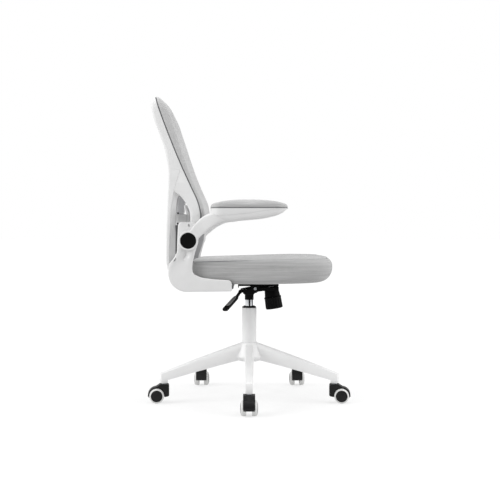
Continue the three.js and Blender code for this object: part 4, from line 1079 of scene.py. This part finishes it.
def backOutline(inset, count):
    # front view outline of the back as evenly spaced (y, z) points
    top, low = backTop - inset, back["rail"] + inset
    lowTurn, topTurn = low + back["lowCorner"], top - back["corner"]

    def half(z):
        return halfAt(z) - inset

    def turned(*corners):
        return [bend(*(Vector(corner) for corner in corners), t) for t in shares(40)]
    left = turned((back["lowCorner"] - half(low), low), (-half(low), low), (-half(lowTurn), lowTurn))
    left += [Vector((-half(z), z)) for z in (mix(lowTurn, topTurn, t) for t in shares(120))]
    left += turned((-half(topTurn), topTurn), (-half(top), top), (back["corner"] - half(top), top))
    over = [Vector((mix(back["corner"] - half(top), half(top) - back["corner"], k / 40), top))
            for k in range(41)]
    right = [Vector((-point.x, point.y)) for point in reversed(left)]
    under = [Vector((mix(half(low) - back["lowCorner"], back["lowCorner"] - half(low), k / 40), low))
             for k in range(1, 40)]
    return evenly(left + over + right + under, count)


def rimRear(z):
    return min(branchX(z) if z < back["bottom"] + back["height"] * 0.48 else rearX(z), seamX(z) - 7)


def drawRim():
    # section: [inset, edge it hangs from, offset forward of that edge]
    section = [(1, "seam", 0), (0.3, "seam", -0.3), (0, "seam", -1.2), (0, "rear", 9), (0.8, "rear", 4.5),
               (3, "rear", 1.6), (7, "rear", 0), (17, "rear", 0), (18.5, "rear", 0.5), (19, "rear", 2),
               (19, "seam", -1.2), (18.7, "seam", -0.3), (18, "seam", 0)]
    count = 260
    outlines = {inset: backOutline(inset, count) for inset, edge, offset in section}
    rings = []
    for i in range(count):
        ring = []
        for inset, edge, offset in section:
            y, z = outlines[inset][i]
            shrink = min(1, (seamX(z) - rimRear(z)) / 14)
            ring.append(((seamX(z) if edge == "seam" else rimRear(z)) + offset * shrink, y, z))
        rings.append(ring)
    return loft(rings, closed=True)


def ribOuter(z, proud=0.9):
    return min(halfAt(z) + proud, back["outermost"])


def ribBreadth(z):
    return mix(back["ribWidth"], 26, ease(z, 715, back["ribTop"]))


def ribFront(z, rear):
    return min(rear + ribDepth(z), seamX(z) - 5)


def ribLip(z):
    # the front edge stands 2 mm proud below the bracket's top
    return 2 * (1 - ease(z, 562, 592))


def drawRib(side):
    # wide band from the upper rim down to the bracket, well rounded behind
    # it sinks into the rim at its top
    rings = []
    for k in range(49):
        z = mix(back["bottom"] + 1, back["ribTop"], k / 48)
        fade = 1 - 2 * ease(z, 752, back["ribTop"])
        outer, rear = ribOuter(z, 0.9 * fade), rearX(z) - 0.5 * fade
        inner, front = outer - ribBreadth(z), ribFront(z, rear)
        crease = min(rear + creaseLine(z), seamX(z) - 6, front - 4)
        corner = outer - mix(mix(back["ribTaper"], 14, ease(z, 600, 660)), 3, ease(z, 715, back["ribTop"]))
        lip = front + 0.1 + ribLip(z)
        profile = [(front, corner - 3.4), (lip - 0.2, corner - 3.2), (lip, corner - 2.9),
                   (lip, corner - 0.3), (lip - 0.3, corner), (crease + 3.6, outer - 8),
                   (crease + 2.4, outer - 8.5), (crease, outer), (rear + 5.2, outer)]
        profile += [(rear + 5 - 5 * sin(a), outer - 5 + 5 * cos(a)) for a in
                    (pi / 2 * n / 8 for n in range(1, 9))]
        profile += [(rear, inner + 7), (rear + 0.6, inner + 3.6), (rear + 2.2, inner + 1.4),
                    (rear + 5, inner + 0.2), (rear + 7, inner), (front - 1, inner), (front, inner + 1)]
        rings.append([(x, side * y, z) for x, y in profile])
    return loft(rings)


def drawFoot(side):
    # foot of the front branch, tucked behind the arm's bracket
    rings = []
    for z in (560, 563, 580, 600, 612, 619):
        front, rear = seamX(max(z, back["rail"])) - 1, branchX(max(z, back["rail"])) + 4
        rings.append([(x, side * y, z) for x, y in ((front, 219.5), (front, 237), (rear + 3, 237),
                                                    (rear, 234), (rear, 222), (rear + 3, 219))])
    return loft(rings)


def creaseTool(side):
    # a round wire that presses the crease line into the outer face
    heights = [mix(612, 772, k / 32) for k in range(33)]
    return tube([(min(rearX(z) + creaseLine(z), seamX(z) - 6), side * min(halfAt(z) + 1.2, 238), z)
                 for z in heights], circle(1.7, 12))


# painted shade and shadow: grey sheets on the inner faces of the ribs and brackets, and a dark strip in the
# gap by each rib's front edge
paintedShades = dict(low=454, high=780, thick=0.6, shadowLow=500, shadowHigh=594, shadowNear=34.3, shadowFar=36.6,
               arm=[(-205, 472), (-189, 472), (-185, 483), (-176, 510), (-167.5, 537), (-165.5, 560),
                    (-169, 584), (-205, 584)])


def drawArmShade():
    # grey sheet of painted shade on the inner face of the bracket, short of its front edge
    return sidePlate(paintedShades["arm"], -bracket["inner"] - 0.5, paintedShades["thick"] - bracket["inner"], 0.3)


def drawRibShade(side):
    # grey strip of painted shade in the channel on the inner face of the rib
    thick = paintedShades["thick"]
    rings = []
    for k in range(33):
        z = mix(paintedShades["low"], paintedShades["high"], k / 32)
        rear, inner = rearX(z), ribOuter(z) - ribBreadth(z)
        front = mix(ribFront(z, rear) - 1.5, rear + 10, ease(z, 720, paintedShades["high"]))
        rings.append([(x, side * (inner + y), z) for x, y in (
            (front, 0.5), (rear + 8, 0.5), (rear + 5.2, 0.8), (rear + 2.8, 2), (rear + 1.2, 4),
            (rear - 0.2, 4.3), (rear + 0.3, 2.6), (rear + 1.9, 0.7), (rear + 4.8, -0.5), (rear + 8, -thick),
            (front, -thick))])
    return loft(rings)


def drawRibShadow(side):
    # dark strip of painted shadow along the front edge of the rib, in the gap beside the bracket
    rings = []
    for k in range(17):
        z = mix(paintedShades["shadowLow"], paintedShades["shadowHigh"], k / 16)
        outer, rear = ribOuter(z), rearX(z)
        near, far = rear + ribDepth(z) + ribLip(z) - 1, rear + mix(31.5, 33.5, k / 16)
        inside, outside = outer - paintedShades["shadowFar"], outer - paintedShades["shadowNear"]
        rings.append([(x, side * y, z) for x, y in ((near, inside), (far, inside), (far, outside),
                                                    (near, outside))])
    return loft(rings)


def drawHoop():
    rings = []
    for outer, inner in zip(backOutline(1.2, 200), backOutline(9.5, 200)):
        rings.append([(seamX(point.y) + forward, point.x, point.y) for point, forward in (
            (outer, 0.3), (outer, back["hoop"] + 0.6), (inner, back["hoop"] + 0.6), (inner, 0.3))])
    return loft(rings, closed=True)


frameShape = merged(drawRim(), drawRib(-1), drawRib(1), drawFoot(-1), drawFoot(1))
frameShape = trimmed(frameShape, creaseTool(-1), creaseTool(1))
finished("back_shell", frameShape, whiteNylon, "seat", ["back_frame"], 38)
# painted shade on the inner faces of the ribs
finished("rib_painted_shade", merged(drawRibShade(-1), drawRibShade(1)), paintedShadeGrey, "seat")
# painted shadow in the gap between each rib and its bracket
finished("rib_painted_shadow", merged(drawRibShadow(-1), drawRibShadow(1)), hoopAndShadowGrey, "seat")
# painted shade on the inner faces of the brackets
bothSides("arm_painted_shade", drawArmShade, paintedShadeGrey, "seat", (), 40)
finished("back_hoop", drawHoop(), hoopAndShadowGrey, "seat", ["mesh_hoop"], 35)


def meshPoint(row, column, offset):
    # row and column run 0 to 1 up and across the stretched cloth
    rise = (1 - cos(pi * row)) / 2
    z = mix(back["rail"] + 1, backTop - 1, rise)
    across = sin(pi / 2 * (2 * column - 1))
    near = min(backTop - z, z - back["rail"])
    corner = min(max(0, 1 - near / back["corner"]), 1)
    half = halfAt(z) - 0.3 - back["corner"] * (1 - sqrt(1 - corner ** 2)) * 0.75
    fromEdge = (1 - abs(across)) * half
    roll = sqrt(1 - (1 - min(fromEdge / back["meshEdge"], 1)) ** 2)
    ends = ease(near, back["meshEnd"], 5 * back["meshEnd"])
    start = seamX(z) + back["hoop"] + back["gap"]
    reach = max(frontX(z) - back["meshThick"] - start, 0.3)
    sag = back["meshSag"] * (1 - across * across) * ends
    reach *= 1 - back["domed"] * across * across * (1 - ease(backTop - z, 0, 70))
    return (start + reach * roll - sag * roll + offset, across * half, z)


def drawMesh():
    rows, columns = 96, 88
    rings = []
    for row in range(rows + 1):
        rear, front = ([meshPoint(row / rows, column / columns, offset) for column in range(columns + 1)]
                       for offset in (0, back["meshThick"]))
        rings.append(rear + front[::-1])
    return loft(rings)


backCloth = finished("back_knit", drawMesh(), greyKnit, "seat", ["back_mesh"], 60)

lumbar = dict(z=601, height=29, thick=6, arch=26, half=196, behind=26.3, bolster=4, padHalf=92,
              padHeight=78, padThick=9, padRise=3, padBolster=22, padLean=0.45)
barTop = lumbar["z"] + lumbar["height"]
lumbarX = rearX(barTop) + lumbar["behind"]


def archShell(half, low, high, rear, thick, rise, edge, lean=0.0):
    # a strip bowed forward in the middle, its long edges rounded; above the bar it may lean back
    rings = []
    for k in range(49):
        across = 2 * k / 48 - 1
        x = rear + rise * (1 - across * across)
        tall = (high - low) / 2
        ends = edge * (1 - sqrt(1 - max(0, (abs(across) * half - half + edge) / edge) ** 2))
        ring = [(x + thick / 2 + thick / 2 * squared(cos(a), 0.5),
                 (low + high) / 2 + (tall - ends) * squared(sin(a), 0.28)) for a in turns(40)]
        rings.append([(u - lean * max(0, z - lumbar["z"] - lumbar["height"] - 1), across * half, z)
                      for u, z in ring])
    return loft(rings)


barShape = archShell(lumbar["half"], lumbar["z"], barTop, lumbarX, lumbar["thick"], lumbar["arch"],
                     lumbar["bolster"])
# painted light: the bar takes the brighter white, standing in for light through the mesh
finished("lumbar_strip", barShape, whiteCoatAndPaintedLight, "lumbar", ["lumbar_bar"])
padShare = (lumbar["padHalf"] / lumbar["half"]) ** 2
padLow = lumbar["z"] + lumbar["height"] / 2 - lumbar["padHeight"] / 2
padX = lumbarX + lumbar["thick"] + lumbar["arch"] * (1 - padShare) + 0.3
lumbarPad = archShell(lumbar["padHalf"], padLow + lumbar["padRise"],
                      padLow + lumbar["padHeight"] + 2 * lumbar["padRise"], padX, lumbar["padThick"],
                      lumbar["arch"] * padShare, lumbar["padBolster"], lumbar["padLean"])
# painted light: the pad takes the brighter white, standing in for light through the mesh
finished("lumbar_cushion", lumbarPad, whiteCoatAndPaintedLight, "lumbar", ["lumbar_pad"])


def drawScrews():
    # pan heads on the inner edge of each rib, above and below the lumbar bar
    bm = bmesh.new()
    profile = rounded([(0, -1), (3.7, -1), (3.7, 0.9), (1.6, 1.5), (1.5, 0.7), (0, 0.7)], 0.4, 3)
    for side in (-1, 1):
        for z in (598.6, 635.3):
            spot = (rearX(z) + 5.4, side * (ribOuter(z) - back["ribWidth"]), z)
            bm.from_mesh(meshOf("head", spun(profile, 32, (0, -side, 0), spot)))
    return bm


finished("rib_screws", drawScrews(), deepBlackNylon, "seat")
print("back made")


# CAD nodes that stay, in zinc plated steel but for the lever's nylon collar

for nodeName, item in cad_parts.items():
    finish = blackNylon if "collar" in nodeName else zincSteel
    kept = any(word in nodeName for word in ("stem", "axle", "pin", "spring", "bolt", "rod", "clip",
                                             "collar"))
    if kept and not item.hide_render:
        item.data.materials.clear()
        item.data.materials.append(finish)


# Floor, card, sky and lamps

def stagePlane(name, half, material, matrix=Matrix()):
    shape = bmesh.new()
    bmesh.ops.create_grid(shape, x_segments=1, y_segments=1, size=half)
    shape.transform(matrix)
    plane = placed(name, meshOf(name, shape))
    plane.data.materials.append(material)


# paper sweep, white to the eye and plain to the light, clear from below
paper, tree, where = newMaterial("paperFloor")
path = addNode(tree, "LightPath")
seen = addNode(tree, "Math", {0: path.outputs["Is Camera Ray"], 1: path.outputs["Is Glossy Ray"]},
               operation="MAXIMUM")
away = addNode(tree, "VectorMath", {0: where}, operation="LENGTH").outputs["Value"]
reach = addNode(tree, "MapRange", {"Value": away, "From Min": 0.6, "From Max": 3.0, "To Min": 0.36,
                                   "To Max": 0.52})
lift = addNode(tree, "Math", {0: seen, 1: reach}, operation="MULTIPLY")
bounce = addNode(tree, "Math", {0: lift, 1: 0.3}, operation="ADD")
matt = addNode(tree, "BsdfDiffuse", {"Color": linear("A0A0A0")})
glow = addNode(tree, "Emission", {"Color": (1, 1, 1, 1), "Strength": bounce})
paperTop = addNode(tree, "AddShader", {0: matt, 1: glow})
below = addNode(tree, "NewGeometry").outputs["Backfacing"]
clear = addNode(tree, "BsdfTransparent")
addNode(tree, "OutputMaterial", {"Surface": addNode(tree, "MixShader", {0: below, 1: paperTop, 2: clear})})
stagePlane("floor", 30, paper)

# dark card behind the camera that only bright metal and gloss can see
blackCard, tree, where = newMaterial("blackCard")
glossy = addNode(tree, "LightPath").outputs["Is Glossy Ray"]
clear = addNode(tree, "BsdfTransparent")
dark = addNode(tree, "BsdfDiffuse", {"Color": linear("202020")})
addNode(tree, "OutputMaterial", {"Surface": addNode(tree, "MixShader", {0: glossy, 1: clear, 2: dark})})
upright = Matrix.Translation((0.85, -3.7, 0.7)) @ Matrix.Rotation(pi / 2, 4, "X")
stagePlane("card", 0.5, blackCard, upright @ Matrix.Diagonal((3.4, 1.38, 1, 1)))

# plain light all round, full white where the camera sees it
sky = bpy.data.worlds.new("sky")
bpy.context.scene.world = sky
sky.use_nodes = True
tree = sky.node_tree
tree.nodes.clear()
path = addNode(tree, "LightPath")
seen = addNode(tree, "Math", {0: path.outputs["Is Camera Ray"], 1: path.outputs["Is Transmission Ray"]},
               operation="MAXIMUM")
level = addNode(tree, "MapRange", {"Value": seen, "To Min": 0.64, "To Max": 1.0})
shine = addNode(tree, "Background", {"Color": (1, 1, 1, 1), "Strength": level})
addNode(tree, "OutputWorld", {"Surface": shine})

lampAim = Vector((0, 0, 0.5))
lamps = dict(key=dict(at=(-3.2, -1.2, 2.0), size=2.2, watts=68),
             fill=dict(at=(3.2, -1.2, 1.7), size=2.4, watts=44),
             top=dict(at=(0.2, 0.2, 3.4), size=2.6, watts=38))
for lampName, facts in lamps.items():
    light = bpy.data.lights.new(lampName, "AREA")
    light.shape = "SQUARE"
    light.size = facts["size"]
    light.energy = facts["watts"]
    lamp = placed(lampName, light)
    lamp.location = facts["at"]
    lamp.rotation_euler = (lampAim - Vector(facts["at"])).to_track_quat("-Z", "Y").to_euler()
print("stage made")
